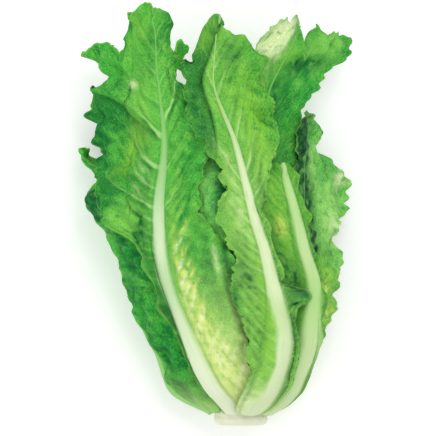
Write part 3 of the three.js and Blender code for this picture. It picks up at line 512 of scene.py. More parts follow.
# The two faces of a leaf's solid, as a radius at each of those places.
def readFaces(leaf):
    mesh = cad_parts[leaf["name"]].data
    points = np.empty(len(mesh.vertices) * 3, np.float32)
    mesh.vertices.foreach_get("co", points)
    turn, t, radius = headPlace(points.reshape(-1, 3).astype(float) / mm)
    leaf["downs"] = np.linspace(0, 1, leaf["rows"] + 1)
    leaf["columns"] = coarseColumns(leaf)
    at = places(leaf, leaf["downs"] ** spacing["down"], leaf["columns"])
    at["turn"] = turnOf(leaf, at["t"], at["c"], at["x"])
    aside = (turn - at["turn"][..., None] + np.pi) % (2 * np.pi) - np.pi
    apart = np.hypot(head["length"] * (t - at["t"][..., None]), head["usualRadius"] * aside)
    near = apart < np.maximum(apart.min(axis=-1, keepdims=True) + nearPlace["slack"], nearPlace["reach"])
    leaf["coarse"] = at
    leaf["inner"] = np.where(near, radius, np.inf).min(axis=-1)
    leaf["outer"] = np.where(near, radius, -np.inf).max(axis=-1)


# Values at the frame's places of a leaf, taken at finer ones down and across it.
def onFine(leaf, values, down, c):
    rows = curve(leaf["downs"], values, np.gradient(values, leaf["downs"], axis=0), down).T
    return curve(leaf["columns"], rows, np.gradient(rows, leaf["columns"], axis=0), c).T


# The room between the leaves, on a grid of turn and t.
roomGrid = {"turns": 180, "heights": 126, "top": 1.05, "perRow": 6, "across": 70, "unbounded": 1e3}


def roomCells(turn, t):
    a = np.floor(turn / (2 * np.pi) * roomGrid["turns"]).astype(int)
    b = np.floor(t / roomGrid["top"] * (roomGrid["heights"] - 1)).astype(int)
    b = np.clip(b, 0, roomGrid["heights"] - 2)
    return [((a + i) % roomGrid["turns"], b + j) for i in (0, 1) for j in (0, 1)]


def layInto(grid, leaf, radius, pick):
    down = np.linspace(0, 1, roomGrid["perRow"] * leaf["rows"])
    c = np.linspace(-1, 1, roomGrid["across"])
    at = leaf["coarse"]
    turn, t, spread = [onFine(leaf, values, down, c) for values in (at["turn"], at["t"], radius)]
    for cells in roomCells(turn, t):
        pick.at(grid, cells, spread)


def findRooms():
    size = (roomGrid["turns"], roomGrid["heights"])
    below = np.zeros(size)
    for leaf in leaves:
        leaf["below"] = below.copy()
        layInto(below, leaf, leaf["outer"], np.maximum)
    above = np.full(size, roomGrid["unbounded"])
    for leaf in reversed(leaves):
        leaf["above"] = above.copy()
        layInto(above, leaf, leaf["inner"], np.minimum)


# Patterns over a leaf: x is millimetres across it and s along it.
def waves(seed, length, x, s, count=9):
    rng = np.random.default_rng(seed)
    angles = rng.uniform(0, np.pi, count)
    sizes = rng.uniform(0.7, 1.35, count)
    phases = rng.uniform(0, 6.3, count)
    total = np.zeros_like(x)
    for angle, size, phase in zip(angles, sizes, phases):
        k = 2 * np.pi / length * size
        total += np.sin(k * (x * np.cos(angle) + s * np.sin(angle)) + phase)
    return total / math.sqrt(count / 2)


# Each cell of the net of small veins has its middle shaken off the middle of a square.
netting = {"shake": 0.4, "x": (127.1, 311.7, 43758.5), "y": (269.5, 183.3, 28001.8),
           "perSeed": 0.37, "leftSide": 40}  # that keep one leaf, and one side of it, unlike the next


def shaken(place, axis, cx, cy, seed):
    a, b, scale = netting[axis]
    value = np.sin(cx * a + cy * b + seed) * scale
    return place + 0.5 + netting["shake"] * (2 * (value - np.floor(value)) - 1)


# 0 on a vein, growing into each cell.
def net(seed, x, s):
    ix, iy = np.floor(x), np.floor(s)
    nearest, second = np.full_like(x, np.inf), np.full_like(x, np.inf)
    for dx in (-1, 0, 1):
        for dy in (-1, 0, 1):
            cx, cy = ix + dx, iy + dy
            apart = np.hypot(shaken(cx, "x", cx, cy, seed) - x, shaken(cy, "y", cx, cy, seed) - s)
            second = np.minimum(second, np.maximum(nearest, apart))
            nearest = np.minimum(nearest, apart)
    return second - nearest


# Side veins leave the rib at a slant, from places that begin below the leaf's base and end above its tip.
veining = {"from": -50, "to": 330, "uneven": (0.7, 1.3), "clearOfMain": 0.6, "slight": (0.08, 0.35),
           "sway": 1.1, "swayLength": 40}


def veinPlaces(leaf, side, rng):
    main = [((at - leaf["start"]) * head["length"], power) for at, power in leaf["main"][side]]
    slight, place = [], veining["from"]
    while place < veining["to"]:
        step = float(along(leaf["veins"], leaf["start"] + place / head["length"]))
        place += step * rng.uniform(*veining["uneven"])
        if all(abs(place - spot) > veining["clearOfMain"] * step for spot, _ in main):
            slight.append((place, rng.uniform(*veining["slight"])))
    return np.array(sorted(slight + main)).T


# Each place belongs to the origin that its vein would have on the rib. phase counts the veins from the base,
# toVein is the distance to the nearest, lower is how far below it, and strength is that vein's own.
def sideVeins(leaf, at):
    x, s, t, seed = at["x"], at["s"], at["t"], leaf["seed"]
    q = np.abs(x)
    phase, lower, strength = np.zeros_like(x), np.zeros_like(x), np.zeros_like(x)
    for side, sign in (("left", -1), ("right", 1)):
        spots, powers = veinPlaces(leaf, side, np.random.default_rng(seed + 40 + sign))
        lean = along(leaf["lean"][side], t)
        origin = s - lean * q - leaf["sweep"] * q * q
        origin = origin + veining["sway"] * waves(seed + 3, veining["swayLength"], x, s)
        k = np.clip(np.searchsorted(spots, origin) - 1, 0, len(spots) - 2)
        share = np.clip((origin - spots[k]) / (spots[k + 1] - spots[k]), 0, 1)
        nearer = np.where(share > 0.5, k + 1, k)
        here = (at["c"] < 0) == (sign < 0)
        phase = np.where(here, k + share + 0.5 * (sign > 0), phase)
        lower = np.where(here, (spots[nearer] - origin) * (1 / np.sqrt(1 + lean**2)), lower)
        strength = np.where(here, powers[nearer], strength)
    return phase, np.abs(lower), strength, lower


# Soft spots of one tone, and rows of slanted strokes of it. A stroke is a little off its place in the row,
# and longer or shorter than the next.
uneven = {"shift": 3, "sizes": 0.3, "ripple": 0.3}


def toneField(leaf, tone, at, ripple):
    x, t = at["x"], at["t"]
    total = np.zeros_like(x)
    for atT, atX, length, width, strength in leaf["patches"].get(tone, []):
        rise = head["length"] * (t - atT)
        total += strength * np.exp(-((rise / length) ** 2) - ((x - atX) / width) ** 2)
    for low, high, count, atX, length, width, strength, lean in leaf["strokes"].get(tone, []):
        for k in range(count):
            rise = head["length"] * (t - low - (high - low) * (k + 0.5) / count)
            rise = rise + uneven["shift"] * np.sin(5 * k)
            size = (1 + uneven["sizes"] * np.sin(7 * k + 2)) * length
            total += strength * np.exp(-((2 * rise / size - 1) ** 2) - ((x - atX - lean * rise) / width) ** 2)
    return np.clip(total * (1 + uneven["ripple"] * ripple), 0, 1)


# A fold is where the blade doubles back under itself along a line. u is how far a place is on its near side.
foldLip = {"at": 1.5, "width": 3.5, "from": -1}
foldRise = {"from": -6, "to": -26, "share": 0.5}  # the turned-under part comes up again
foldShade = {"from": 2, "to": -1}


# The shift away from the line and the change in height.
def foldOf(fold, u, strength):
    turned = ramp(0, -fold["turn"], u)
    shift = (fold["under"] + fold["turn"]) * turned
    shift = shift * (1 - ramp(-fold["turn"], -fold["turn"] - fold["fade"], u))
    lip = fold["lip"] * bump(u - foldLip["at"], foldLip["width"]) * (u > foldLip["from"])
    drop = fold["drop"] * turned * (1 - foldRise["share"] * ramp(foldRise["from"], foldRise["to"], u))
    return strength * shift, strength * (lip - drop)


# The change in height, and the painted shadow along the fold: dark on the near side of its line, fading over
# the fold's dark.
def foldBlade(leaf, at):
    height, creaseShadow = np.zeros_like(at["x"]), np.zeros_like(at["x"])
    for fold in leaf["folds"]:
        x, t = at["x"], at["t"]
        if fold["along"] == "t":
            u = x - along(fold["line"], t)
            strength = ramp(*fold["from"], t) * ramp(*fold["to"], t)
            shift, change = foldOf(fold, u, strength)
            at["x"] = x + shift
        else:
            out = np.abs(x)
            u = head["length"] * (t - along(fold["line"], out))
            strength = ramp(*fold["from"], out) * ramp(*fold["to"], out) * ((x < 0) == fold["left"])
            shift, change = foldOf(fold, u, strength)
            at["t"] = t + shift / head["length"]
        height += change
        shade = ramp(foldShade["from"], foldShade["to"], u)
        creaseShadow += strength * shade * np.exp(np.minimum(0, u + foldShade["from"]) / fold["dark"])
    return height, creaseShadow


# A piece from points in millimetres, with the marks that its finish reads.
def makePiece(name, points, faces, marks, node):
    corners = np.concatenate([face.ravel() for face in faces])
    sides = np.concatenate([np.full(len(face), face.shape[1]) for face in faces])
    mesh = bpy.data.meshes.new(name)
    mesh.vertices.add(len(points))
    mesh.vertices.foreach_set("co", (points * mm).astype(np.float32).ravel())
    mesh.loops.add(len(corners))
    mesh.loops.foreach_set("vertex_index", corners.astype(np.int32))
    mesh.polygons.add(len(sides))
    mesh.polygons.foreach_set("loop_start", (np.cumsum(sides) - sides).astype(np.int32))
    for mark, values in marks.items():
        layer = mesh.attributes.new(mark, "FLOAT", "POINT")
        layer.data.foreach_set("value", values.astype(np.float32).ravel())
    mesh.update(calc_edges=True)
    mesh.validate()
    mesh.shade_smooth()
    piece = bpy.data.objects.new(name, mesh)
    bpy.context.scene.collection.objects.link(piece)
    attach(piece, "root")
    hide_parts(node)
    return piece


def normalsOf(points):
    down, across = np.gradient(points, axis=0), np.gradient(points, axis=1)
    normal = np.cross(across, down)
    return normal / np.maximum(np.linalg.norm(normal, axis=-1, keepdims=True), tiny)


def gridFaces(rows, cols, first, flip):
    i, j = np.meshgrid(np.arange(rows - 1), np.arange(cols - 1), indexing="ij")
    a = first + i * cols + j
    quad = np.stack([a, a + 1, a + cols + 1, a + cols], axis=-1).reshape(-1, 4)
    return quad[:, ::-1] if flip else quad


# Both faces of a sheet and the rim between them.
def sheetFaces(rows, cols):
    first = rows * cols
    j, i = np.arange(cols - 1), np.arange(rows - 1)
    bottom, top = j, (rows - 1) * cols + j
    left, right = i * cols, i * cols + cols - 1
    rims = [(bottom + 1, bottom), (top, top + 1), (left, left + cols), (right + cols, right)]
    rims = [np.stack([a, b, b + first, a + first], axis=-1) for a, b in rims]
    return np.concatenate([gridFaces(rows, cols, 0, False), gridFaces(rows, cols, first, True), *rims])


# Every leaf's sheet. Lengths and heights are in millimetres.
sheet = {
    "ribSteps": {"fine": 5, "coarse": 3},  # across half a rib, and coarse from this grain up:
    "coarseGrain": 2,
    "leastSteps": 10,
    "fineTeeth": 3.6,
    "teeth": 6.5,
    "teethShare": 0.22,
    "scallops": 19,
    "scallopShare": 0.8,
    "squeeze": {"teeth": 0.5, "scallops": 0.4},  # of their waves, square to the edge
    "wander": {"side": 6, "top": 7, "fine": 2},  # how far in from the edge they fade
    "ribFoot": 0.8,  # the blade begins at this share of the rib's half width
    "bladeRise": 5,  # from the rib, over which the relief sets in
    "cell": 5.5,  # of the net of small veins
    "cellsPerVein": 2.3,
    "pillow": {"height": 0.45, "edge": 0.3},
    "vein": 0.55,
    "veinWidth": {"tip": 0.35, "root": 0.85, "narrows": 10, "slight": 0.65, "main": 0.45},
    "veinFade": {"slight": 8, "main": 26},
    "veinShade": {"below": 2.4, "width": 1.6},
    "gutter": {"depth": 0.5, "width": 3.2, "least": 0.3},
    "swells": [[8, 12, 0.45], [15, 27, 0.5]],  # seed, length and height of the slow waves
    "blots": [[12, 38, 0.16], [13, 13, 0.12]],  # and of the light and dark ones
    "frills": [[6, 22, 0.6, 12], [7, 9, 0.3, 6]],  # and how far in they reach
    "stem": {"from": 0.1, "to": 0.036, "thinner": 0.5},  # the leaves are thinner where they grow from it
    "clear": {"above": 1.0, "leastRise": 0.25, "below": 0.5, "leastDrop": 0.35},  # of the neighbours
    "rim": {"thinner": 0.35, "width": 2},
    "ribBack": {"height": 0.62, "from": 1.15, "to": 0.25},  # shares of the rib's half width
    "ridges": {"height": 0.10, "perMm": 2.6, "sway": 0.6, "swayLength": 60,
               "within": (0.95, 0.6),  # shares of the rib's half width
               "ribs": (2, 5)},  # the half widths from which a rib has them
}


def bySide(leaf, key, at):
    return np.where(at["c"] < 0, *[along(leaf[key][side], at["t"]) for side in ("left", "right")])


# A leaf's places on its fine grid, and how far each is from the side, the top and the nearer of them.
def finePlaces(leaf):
    grain = leaf["grain"]
    tallest = max(top for _, top in leaf["crown"]) - leaf["start"]
    down = np.linspace(0, 1, int(tallest * head["length"] / grain) + 1)
    ribSteps = sheet["ribSteps"]["fine" if grain < sheet["coarseGrain"] else "coarse"]
    halves = []
    for side in ("left", "right"):
        steps = max(sheet["leastSteps"], int(max(width for _, width in leaf[side]) / grain))
        halves.append(np.concatenate([np.linspace(0, ribShare, ribSteps + 1)[1:],
                                      np.linspace(ribShare, 1, steps + 1)[1:]]))
    c = np.concatenate([-halves[0][::-1], [0], halves[1]])
    at = places(leaf, down, c)
    at["radius"] = onFine(leaf, leaf["inner"], down ** (1 / spacing["down"]), c)
    at["s"] = head["length"] * (at["t"] - leaf["start"])
    at["toSide"] = at["width"] - np.abs(at["x"])
    at["toTop"] = head["length"] * (at["top"] - at["t"])
    at["toEdge"] = np.minimum(at["toSide"], at["toTop"])
    at["free"] = np.where(at["c"] < 0, *[ramp(*leaf["calm"][side], at["t"]) for side in ("left", "right")])
    return at


# The edges wander in and out, in small teeth, slower scallops and the leaf's own lobes. Returns their rise.
def wanderEdges(leaf, at):
    seed, x, s, fades = leaf["seed"], at["x"], at["s"], sheet["wander"]
    small, slow = sheet["teethShare"], sheet["scallopShare"]
    close, wide = sheet["squeeze"]["teeth"], sheet["squeeze"]["scallops"]
    teeth = small * waves(seed, sheet["teeth"], x * close, s)
    teeth = leaf["tooth"] * at["free"] * (teeth + slow * waves(seed + 1, sheet["scallops"], x * wide, s))
    fine = small * leaf["tooth"] * at["free"] * waves(seed + 30, sheet["fineTeeth"], x * wide, s)
    raised = np.zeros_like(x)
    inwards = np.exp(-at["toSide"] / fades["side"])
    for side in ("left", "right"):
        for place, out, width, *up in leaf["lobes"].get(side, []):
            here = bump(np.abs(head["length"] * (at["t"] - place)), width, 3)
            here = here * ((at["c"] < 0) == (side == "left"))
            teeth = teeth + here * out
            raised = raised + here * sum(up) * inwards
    x = x + np.sign(x) * (teeth * inwards + fine * np.exp(-at["toSide"] / fades["fine"])) * (at["past"] > 0)

    teeth = small * waves(seed + 2, sheet["teeth"], x, s * close)
    teeth = leaf["tooth"] * (teeth + slow * waves(seed + 5, sheet["scallops"], x, s * wide))
    fine = small * leaf["tooth"] * waves(seed + 31, sheet["fineTeeth"], x, s * wide)
    teeth = teeth + fine * np.exp(-at["toTop"] / fades["fine"])
    for place, out, width in leaf["lobes"].get("top", []):
        teeth = teeth + out * bump(x - place, width)
    at["x"] = x
    at["t"] = at["t"] + teeth * np.exp(-at["toTop"] / fades["top"]) / head["length"]
    return raised


# Side veins in gutters, with pillows of blade between them. Keeps what the finish needs of them in at.
def veinRelief(leaf, at):
    seed, x, s = leaf["seed"], at["x"], at["s"]
    phase, toVein, strength, lower = sideVeins(leaf, at)
    rib = along(leaf["ribLook"], at["t"])
    q = np.maximum(0, np.abs(x) - sheet["ribFoot"] * rib)
    across = q / sheet["cell"] + np.where(at["c"] < 0, netting["leftSide"], 0)
    cell = net(seed * netting["perSeed"], across, phase * sheet["cellsPerVein"])
    wide, far, gutter, pillow = sheet["veinWidth"], sheet["veinFade"], sheet["gutter"], sheet["pillow"]
    veinWidth = wide["tip"] + wide["root"] * np.exp(-q / wide["narrows"])
    veinWidth = veinWidth * (wide["slight"] + wide["main"] * strength)
    fade = np.exp(-q / (far["slight"] + far["main"] * strength))
    vein = strength * bump(toVein, veinWidth) * fade
    blade = ramp(0, sheet["bladeRise"], q)
    bulge = pillow["height"] * (1 - np.exp(-np.maximum(cell, 0) / pillow["edge"]))
    dip = gutter["depth"] * (bump(toVein, gutter["width"]) * fade * (gutter["least"] + strength))
    blister = leaf["blister"] * (1 - bySide(leaf, "smooth", at))
    relief = blade * (sheet["vein"] * vein - blister * (dip - bulge))
    swell = sum(height * waves(seed + own, length, x, s) for own, length, height in sheet["swells"])
    blots = sum(height * waves(seed + own, length, x, s) for own, length, height in sheet["blots"])
    shadow = bump(lower - sheet["veinShade"]["below"], sheet["veinShade"]["width"])
    at.update(rib=rib, q=q, phase=phase, vein=vein, cell=cell, shade=0.5 + leaf["mottle"] * blots,
              veinShade=strength * fade * blade * shadow)
    return relief + blade * blister * swell


# Ruffles stand where the neighbours leave room.
def keepClear(leaf, at, turn, rise):
    clear = sheet["clear"]
    above = np.min([leaf["above"][cells] for cells in roomCells(turn, at["t"])], axis=0)
    under = np.max([leaf["below"][cells] for cells in roomCells(turn, at["t"])], axis=0)
    highest = np.maximum(clear["leastRise"], leaf["room"] * (above - at["radius"] - clear["above"]))
    lowest = np.maximum(clear["leastDrop"], clear["below"] * (at["radius"] - under))
    return np.where(rise > 0, highest * np.tanh(rise / highest), lowest * np.tanh(rise / lowest))


# The blade's thickness, with the rib standing out of its back.
def thickness(leaf, at, onRib):
    x, rib = at["x"], at["rib"]
    rim, raised, fine = sheet["rim"], sheet["ribBack"], sheet["ridges"]
    back = raised["height"] * rib * ramp(raised["from"], raised["to"], onRib)
    sway = fine["sway"] * waves(leaf["seed"] + 9, fine["swayLength"], x, at["s"])
    ridges = fine["height"] * np.cos(x * fine["perMm"] + sway) * ramp(*fine["within"], onRib)
    thick = leaf["blade"] * (1 - rim["thinner"] * np.exp(-at["toEdge"] / rim["width"])) + back
    thick = thick + ridges * ramp(*fine["ribs"], rib)
    return thick * (1 - sheet["stem"]["thinner"] * ramp(sheet["stem"]["from"], sheet["stem"]["to"], at["t"]))


# Where the marks set in and end: shares of the rib's half width, then millimetres from the rib, from the
# edge and of relief. A ripple has its seed, length and height.
marking = {"ribness": (0.15, -0.25), "ribShadow": (1.12, 0.16), "halo": 7, "edge": 12, "puckerShade": 3,
           "ripples": [[20, 9, 1], [21, 4, 0.6]]}


# What the finish reads at every point, mostly from 0 to 1.
def leafMarks(leaf, at, relief, creaseShadow, onRib):
    x, s, t = at["x"], at["s"], at["t"]
    ripple = sum(height * waves(leaf["seed"] + own, length, x, s)
                 for own, length, height in marking["ripples"])
    line, lineWidth = marking["ribShadow"]
    # past this share the rib's left side is painted in shade, in the blade's colours
    ribEdge = np.where(x < 0, along(leaf["ribLeft"], t), 1)
    marks = {
        "ribness": ramp(*marking["ribness"], onRib - ribEdge),
        # a painted shadow line just outside the rib's edge
        "ribShadow": bump(onRib - line, lineWidth),
        "ribGreen": along(leaf["ribGreen"], t),
        "phase": at["phase"],
        "away": at["q"],
        "halo": np.exp(-at["q"] / marking["halo"]),
        "vein": at["vein"],
        "veinShade": at["veinShade"],
        "cell": np.clip(at["cell"], 0, 1),
        "pale": along(leaf["pale"], t) * np.where(at["c"] < 0, *leaf["paleSides"]),
        "shade": np.clip(at["shade"], 0, 1),
        "acrossRib": x,
        "alongRib": s,
        "toEdge": np.clip(at["toEdge"] / marking["edge"], 0, 1),
        # painted shade of the relief: lighter where it stands up, darker where it dips
        "puckerShade": np.clip(0.5 + relief / marking["puckerShade"], 0, 1),
        # painted shadow along the folds
        "creaseShadow": np.clip(creaseShadow, 0, 1),
    }
    for tone in ("light", "dark", "lime", "yellow", "cream"):
        marks[tone + "Spot"] = toneField(leaf, tone, at, ripple)
    return marks


def growLeaf(leaf):
    at = finePlaces(leaf)
    raised = wanderEdges(leaf, at)
    relief = veinRelief(leaf, at)
    folded, creaseShadow = foldBlade(leaf, at)
    relief = relief + folded
    x, s, t = at["x"], at["s"], at["t"]
    turn = turnOf(leaf, t, at["c"], x)
    frill = sum(height * bump(at["toEdge"], reach) * waves(leaf["seed"] + own, length, x, s)
                for own, length, height, reach in sheet["frills"])
    rise = relief + leaf["frill"] * at["free"] * frill + raised + along(leaf["lift"], t)
    inner = headPoint(turn, t, at["radius"] + keepClear(leaf, at, turn, rise))
    onRib = np.abs(x) / at["rib"]
    outer = inner + normalsOf(inner) * thickness(leaf, at, onRib)[..., None]
    outer[..., 2] = np.maximum(outer[..., 2], 0)  # on the floor, not in it
    points = np.concatenate([outer.reshape(-1, 3), inner.reshape(-1, 3)])
    marks = leafMarks(leaf, at, relief, creaseShadow, onRib)
    marks = {mark: np.tile(values.ravel(), 2) for mark, values in marks.items()}
    faces = [sheetFaces(*t.shape)]
    return makePiece(leaf["name"] + "_blade", points, faces, marks, leaf["name"])


for leaf in leaves:
    readFaces(leaf)
findRooms()
print("leaf faces read:", len(leaves))


# What every finish shares. The glow is light that comes back out from under the surface, its reach in metres.
flesh = {
    "shine": 0.1,
    "glow": 0.08,
    "glowReach": (0.0012, 0.002, 0.0006),
    "grain": 0.9,  # of the roughness, in millimetres
    "uneven": 0.06,
    "bump": 0.6,
}


# A finish is a chain of mixes: each layer lays its colour over what is below it, by the strength of a mark.
class Coat:
    def __init__(self, name):
        self.material = bpy.data.materials.new(name)
        self.material.use_nodes = True
        self.tree = self.material.node_tree
        self.surface = self.tree.nodes["Principled BSDF"]
        self.colour = None

    def node(self, kind, **values):
        node = self.tree.nodes.new(kind)
        for key, value in values.items():
            setattr(node, key, value)
        return node

    # Puts a number, a colour or another node's output into a socket.
    def feed(self, socket, value):
        if isinstance(value, bpy.types.NodeSocket):
            self.tree.links.new(value, socket)
        else:
            socket.default_value = (*value, 1) if isinstance(value, tuple) else value

    def fill(self, node, values):
        for name, value in values.items():
            self.feed(node.inputs[name], value)

    def mark(self, name):
        return self.node("ShaderNodeAttribute", attribute_name=name).outputs["Fac"]

    def math(self, operation, *values, clamp=False):
        node = self.node("ShaderNodeMath", operation=operation, use_clamp=clamp)
        for socket, value in zip(node.inputs, values):
            self.feed(socket, value)
        return node.outputs[0]

    def times(self, a, b, clamp=False):
        return self.math("MULTIPLY", a, b, clamp=clamp)

    # Marks and grains by their weights, and a number.
    def sum(self, *parts, plus):
        total = self.times(*parts[0])
        for part in parts[1:]:
            total = self.math("ADD", total, self.times(*part))
        return self.math("ADD", total, plus)

    def spread(self, value, low, high, start=0.0, end=1.0):
        node = self.node("ShaderNodeMapRange", interpolation_type="SMOOTHSTEP")
        self.fill(node, {"Value": value, "From Min": low, "From Max": high, "To Min": start, "To Max": end})
        return node.outputs["Result"]

    def noise(self, size, detail=4.0, rough=0.55):
        node = self.node("ShaderNodeTexNoise")
        self.feed(node.inputs["Vector"], self.node("ShaderNodeTexCoord").outputs["Object"])
        self.fill(node, {"Scale": 1 / (size * mm), "Detail": detail, "Roughness": rough})
        return node.outputs["Fac"]

    # Noise drawn out along one of two marks, by how fast it runs with each.
    def drawn(self, first, second, firstScale, secondScale):
        place = self.node("ShaderNodeCombineXYZ")
        self.feed(place.inputs[0], self.times(self.mark(first), firstScale))
        self.feed(place.inputs[1], self.times(self.mark(second), secondScale))
        node = self.node("ShaderNodeTexNoise")
        self.fill(node, {"Vector": place.outputs[0], "Scale": 1, "Detail": 3})
        return node.outputs["Fac"]

    def mix(self, below, above, strength):
        node = self.node("ShaderNodeMix", data_type="RGBA")
        self.feed(node.inputs["Factor"], strength)
        self.feed(node.inputs[6], below)  # 6, 7 and the output 2 are the ones for colours
        self.feed(node.inputs[7], above)
        return node.outputs[2]

    def lay(self, colour, strength=None):
        self.colour = colour if strength is None else self.mix(self.colour, colour, strength)

    def finish(self, roughness, bumpSize, bumpDepth):
        surface = self.surface.inputs
        grain, uneven = self.noise(flesh["grain"], 3), flesh["uneven"]
        self.feed(surface["Base Color"], self.colour)
        self.feed(surface["Roughness"], self.spread(grain, 0.3, 0.7, roughness - uneven, roughness + uneven))
        relief = self.node("ShaderNodeBump")
        height = self.noise(bumpSize)
        self.fill(relief, {"Strength": flesh["bump"], "Distance": bumpDepth * mm, "Height": height})
        self.feed(surface["Normal"], relief.outputs[0])
        surface["Specular IOR Level"].default_value = flesh["shine"]
        surface["Subsurface Weight"].default_value = flesh["glow"]
        surface["Subsurface Radius"].default_value = flesh["glowReach"]
        surface["Subsurface Scale"].default_value = 1.0
        return self.material


# A colour of the screen, as the shader takes it.
def sRGB(*colour):
    return tuple((v / 255 / 12.92) if v <= 10 else ((v / 255 + 0.055) / 1.055) ** 2.4 for v in colour)


# Colours of a leaf as the screen shows them: its blade from dark to light, its pale base, its veins, and the
# rib low down and high up.
lookParts = ("dark", "deep", "mid", "light", "pale", "vein", "rib", "ribTip")
looks = {
    "heart": [(150, 180, 70), (178, 200, 92), (204, 218, 120), (226, 232, 158), (238, 238, 190),
              (238, 238, 196), (240, 240, 214), (232, 236, 196)],
    "inner": [(100, 150, 50), (132, 178, 66), (166, 202, 88), (200, 222, 122), (228, 234, 168),
              (226, 236, 176), (236, 240, 208), (214, 230, 164)],
    "middle": [(24, 92, 36), (52, 126, 44), (88, 162, 58), (142, 196, 88), (212, 226, 150), (186, 218, 142),
               (226, 236, 196), (160, 206, 116)],
    "middle_front": [(14, 96, 48), (42, 136, 60), (80, 174, 76), (140, 208, 100), (208, 226, 146),
                     (160, 208, 124), (216, 232, 186), (120, 186, 90)],
    "tall": [(2, 94, 42), (22, 124, 44), (58, 162, 56), (124, 194, 82), (204, 224, 150), (142, 200, 108),
             (200, 226, 162), (112, 186, 86)],
    "under": [(12, 78, 36), (30, 108, 46), (62, 148, 56), (112, 182, 80), (204, 224, 156), (150, 200, 118),
              (222, 236, 198), (140, 196, 104)],
    "outer_left": [(0, 88, 38), (14, 124, 48), (56, 174, 56), (110, 208, 74), (180, 218, 132),
                   (92, 184, 78), (150, 204, 120), (90, 172, 80)],
    "front_right": [(10, 90, 42), (36, 122, 38), (80, 160, 48), (124, 188, 74), (190, 216, 130),
                    (160, 208, 110), (196, 218, 164), (172, 210, 134)],
    "outer_right": [(0, 58, 28), (16, 112, 46), (74, 164, 64), (146, 208, 104), (200, 224, 146),
                    (128, 194, 104), (150, 206, 116), (56, 136, 60)],
    "front_left": [(2, 98, 40), (26, 130, 48), (70, 170, 60), (128, 202, 80), (222, 234, 152),
                   (158, 210, 122), (220, 230, 198), (122, 188, 96)],
    "front_middle": [(8, 94, 44), (36, 128, 48), (84, 168, 58), (140, 202, 84), (200, 224, 146),
                     (190, 224, 146), (208, 224, 178), (164, 202, 122)],
}
spots = {"lime": (132, 194, 58), "yellow": (214, 230, 112), "cream": (224, 236, 180)}

# How a leaf is painted: grains by size in millimetres, detail and roughness, weights and strengths of layers.
paint = {
    "blot": (4.5, 5, 0.65),
    "fine": (1.0, 3, 0.75),
    "speck": (2.2, 4, 0.7),
    "strokes": (5.5, 0.16),  # to a vein's gap, and to a millimetre away from the rib
    "streaks": (1.1, 0.03),  # to a millimetre across the rib, and along it
    "tone": [0.5, 0.6, 0.95, 1.0, 0.5],  # of shade, blot, strokes, fine, and the puckers' painted shade, darker where they dip
    "tonePlus": -1.3,
    "halo": 0.3,
    "unlit": -0.7,  # the veins in dark spots
    "veinShade": 0.9,
    "net": 0.42,
    "veins": 0.9,
    "edge": 0.4,
    "creaseShadow": 0.85,
    "ribShadow": 0.4,
    "ribStreaks": 0.3,
    "roughness": 0.62,
    "bumpSize": 1.5,
    "bumpDepth": 0.4,
}


def leafFinish(name, look):
    colours = {part: sRGB(*colour) for part, colour in [*zip(lookParts, look), *spots.items()]}
    coat = Coat(name)
    blot, fine, speck = [coat.noise(*paint[grain]) for grain in ("blot", "fine", "speck")]
    strokes = coat.drawn("phase", "away", *paint["strokes"])
    streaks = coat.drawn("acrossRib", "alongRib", *paint["streaks"])
    # the puckers' painted shade goes into the tone with the blots, strokes and grain
    parts = [coat.mark("shade"), blot, strokes, fine, coat.mark("puckerShade")]
    tone = coat.sum(*zip(parts, paint["tone"]), plus=paint["tonePlus"])

    def layMark(colour, mark, strength):
        coat.lay(colours[colour], coat.times(coat.mark(mark), strength))

    # the blade in its tones, with grain in them
    coat.lay(colours["deep"])
    coat.lay(colours["mid"], coat.spread(tone, 0.15, 0.5))
    coat.lay(colours["light"], coat.spread(tone, 0.5, 1.0, 0, 0.75))
    coat.lay(colours["dark"], coat.spread(speck, 0.5, 0.68, 0, 0.5))
    layMark("light", "halo", paint["halo"])
    # its spots, some dark ones painted shade and shadow and a cream one a painted highlight, and its pale
    # base, broken up by the grain
    grainy = coat.spread(fine, 0.25, 0.7, 0.65, 1.0)
    layMark("light", "lightSpot", grainy)
    layMark("lime", "limeSpot", coat.spread(strokes, 0.3, 0.6, 0.5, 0.95))
    coat.lay(colours["deep"], coat.spread(fine, 0.3, 0.48, 0.5, 0))
    coat.lay(colours["light"], coat.spread(fine, 0.52, 0.7, 0, 0.5))
    layMark("dark", "darkSpot", coat.spread(blot, 0.3, 0.6, 0.7, 1.0))
    layMark("pale", "pale", grainy)
    layMark("yellow", "yellowSpot", coat.spread(strokes, 0.3, 0.6, 0.45, 0.95))
    layMark("cream", "creamSpot", coat.spread(fine, 0.3, 0.7, 0.6, 1.0))
    # its veins, fainter in the dark spots, with painted shade below them, then the light line along the edge
    # and the painted shadow lines along the fold and beside the rib
    lit = coat.sum((coat.mark("darkSpot"), paint["unlit"]), plus=1)
    layMark("dark", "veinShade", paint["veinShade"])
    coat.lay(colours["light"], coat.times(coat.spread(coat.mark("cell"), 0.0, 0.1, paint["net"], 0.0), lit))
    coat.lay(colours["vein"], coat.times(coat.spread(coat.mark("vein"), 0.05, 0.6, 0, paint["veins"]), lit))
    coat.lay(colours["light"], coat.spread(coat.mark("toEdge"), 0.0, 0.1, paint["edge"], 0))
    layMark("dark", "creaseShadow", paint["creaseShadow"])
    layMark("dark", "ribShadow", paint["ribShadow"])
    # and over all of that the rib, streaked along its length
    blade = coat.colour
    coat.lay(colours["rib"])
    coat.lay(colours["ribTip"], coat.mark("ribGreen"))
    coat.lay(colours["light"], coat.spread(streaks, 0.52, 0.72, 0, paint["ribStreaks"]))
    coat.colour = coat.mix(blade, coat.colour, coat.mark("ribness"))
    return coat.finish(paint["roughness"], paint["bumpSize"], paint["bumpDepth"])


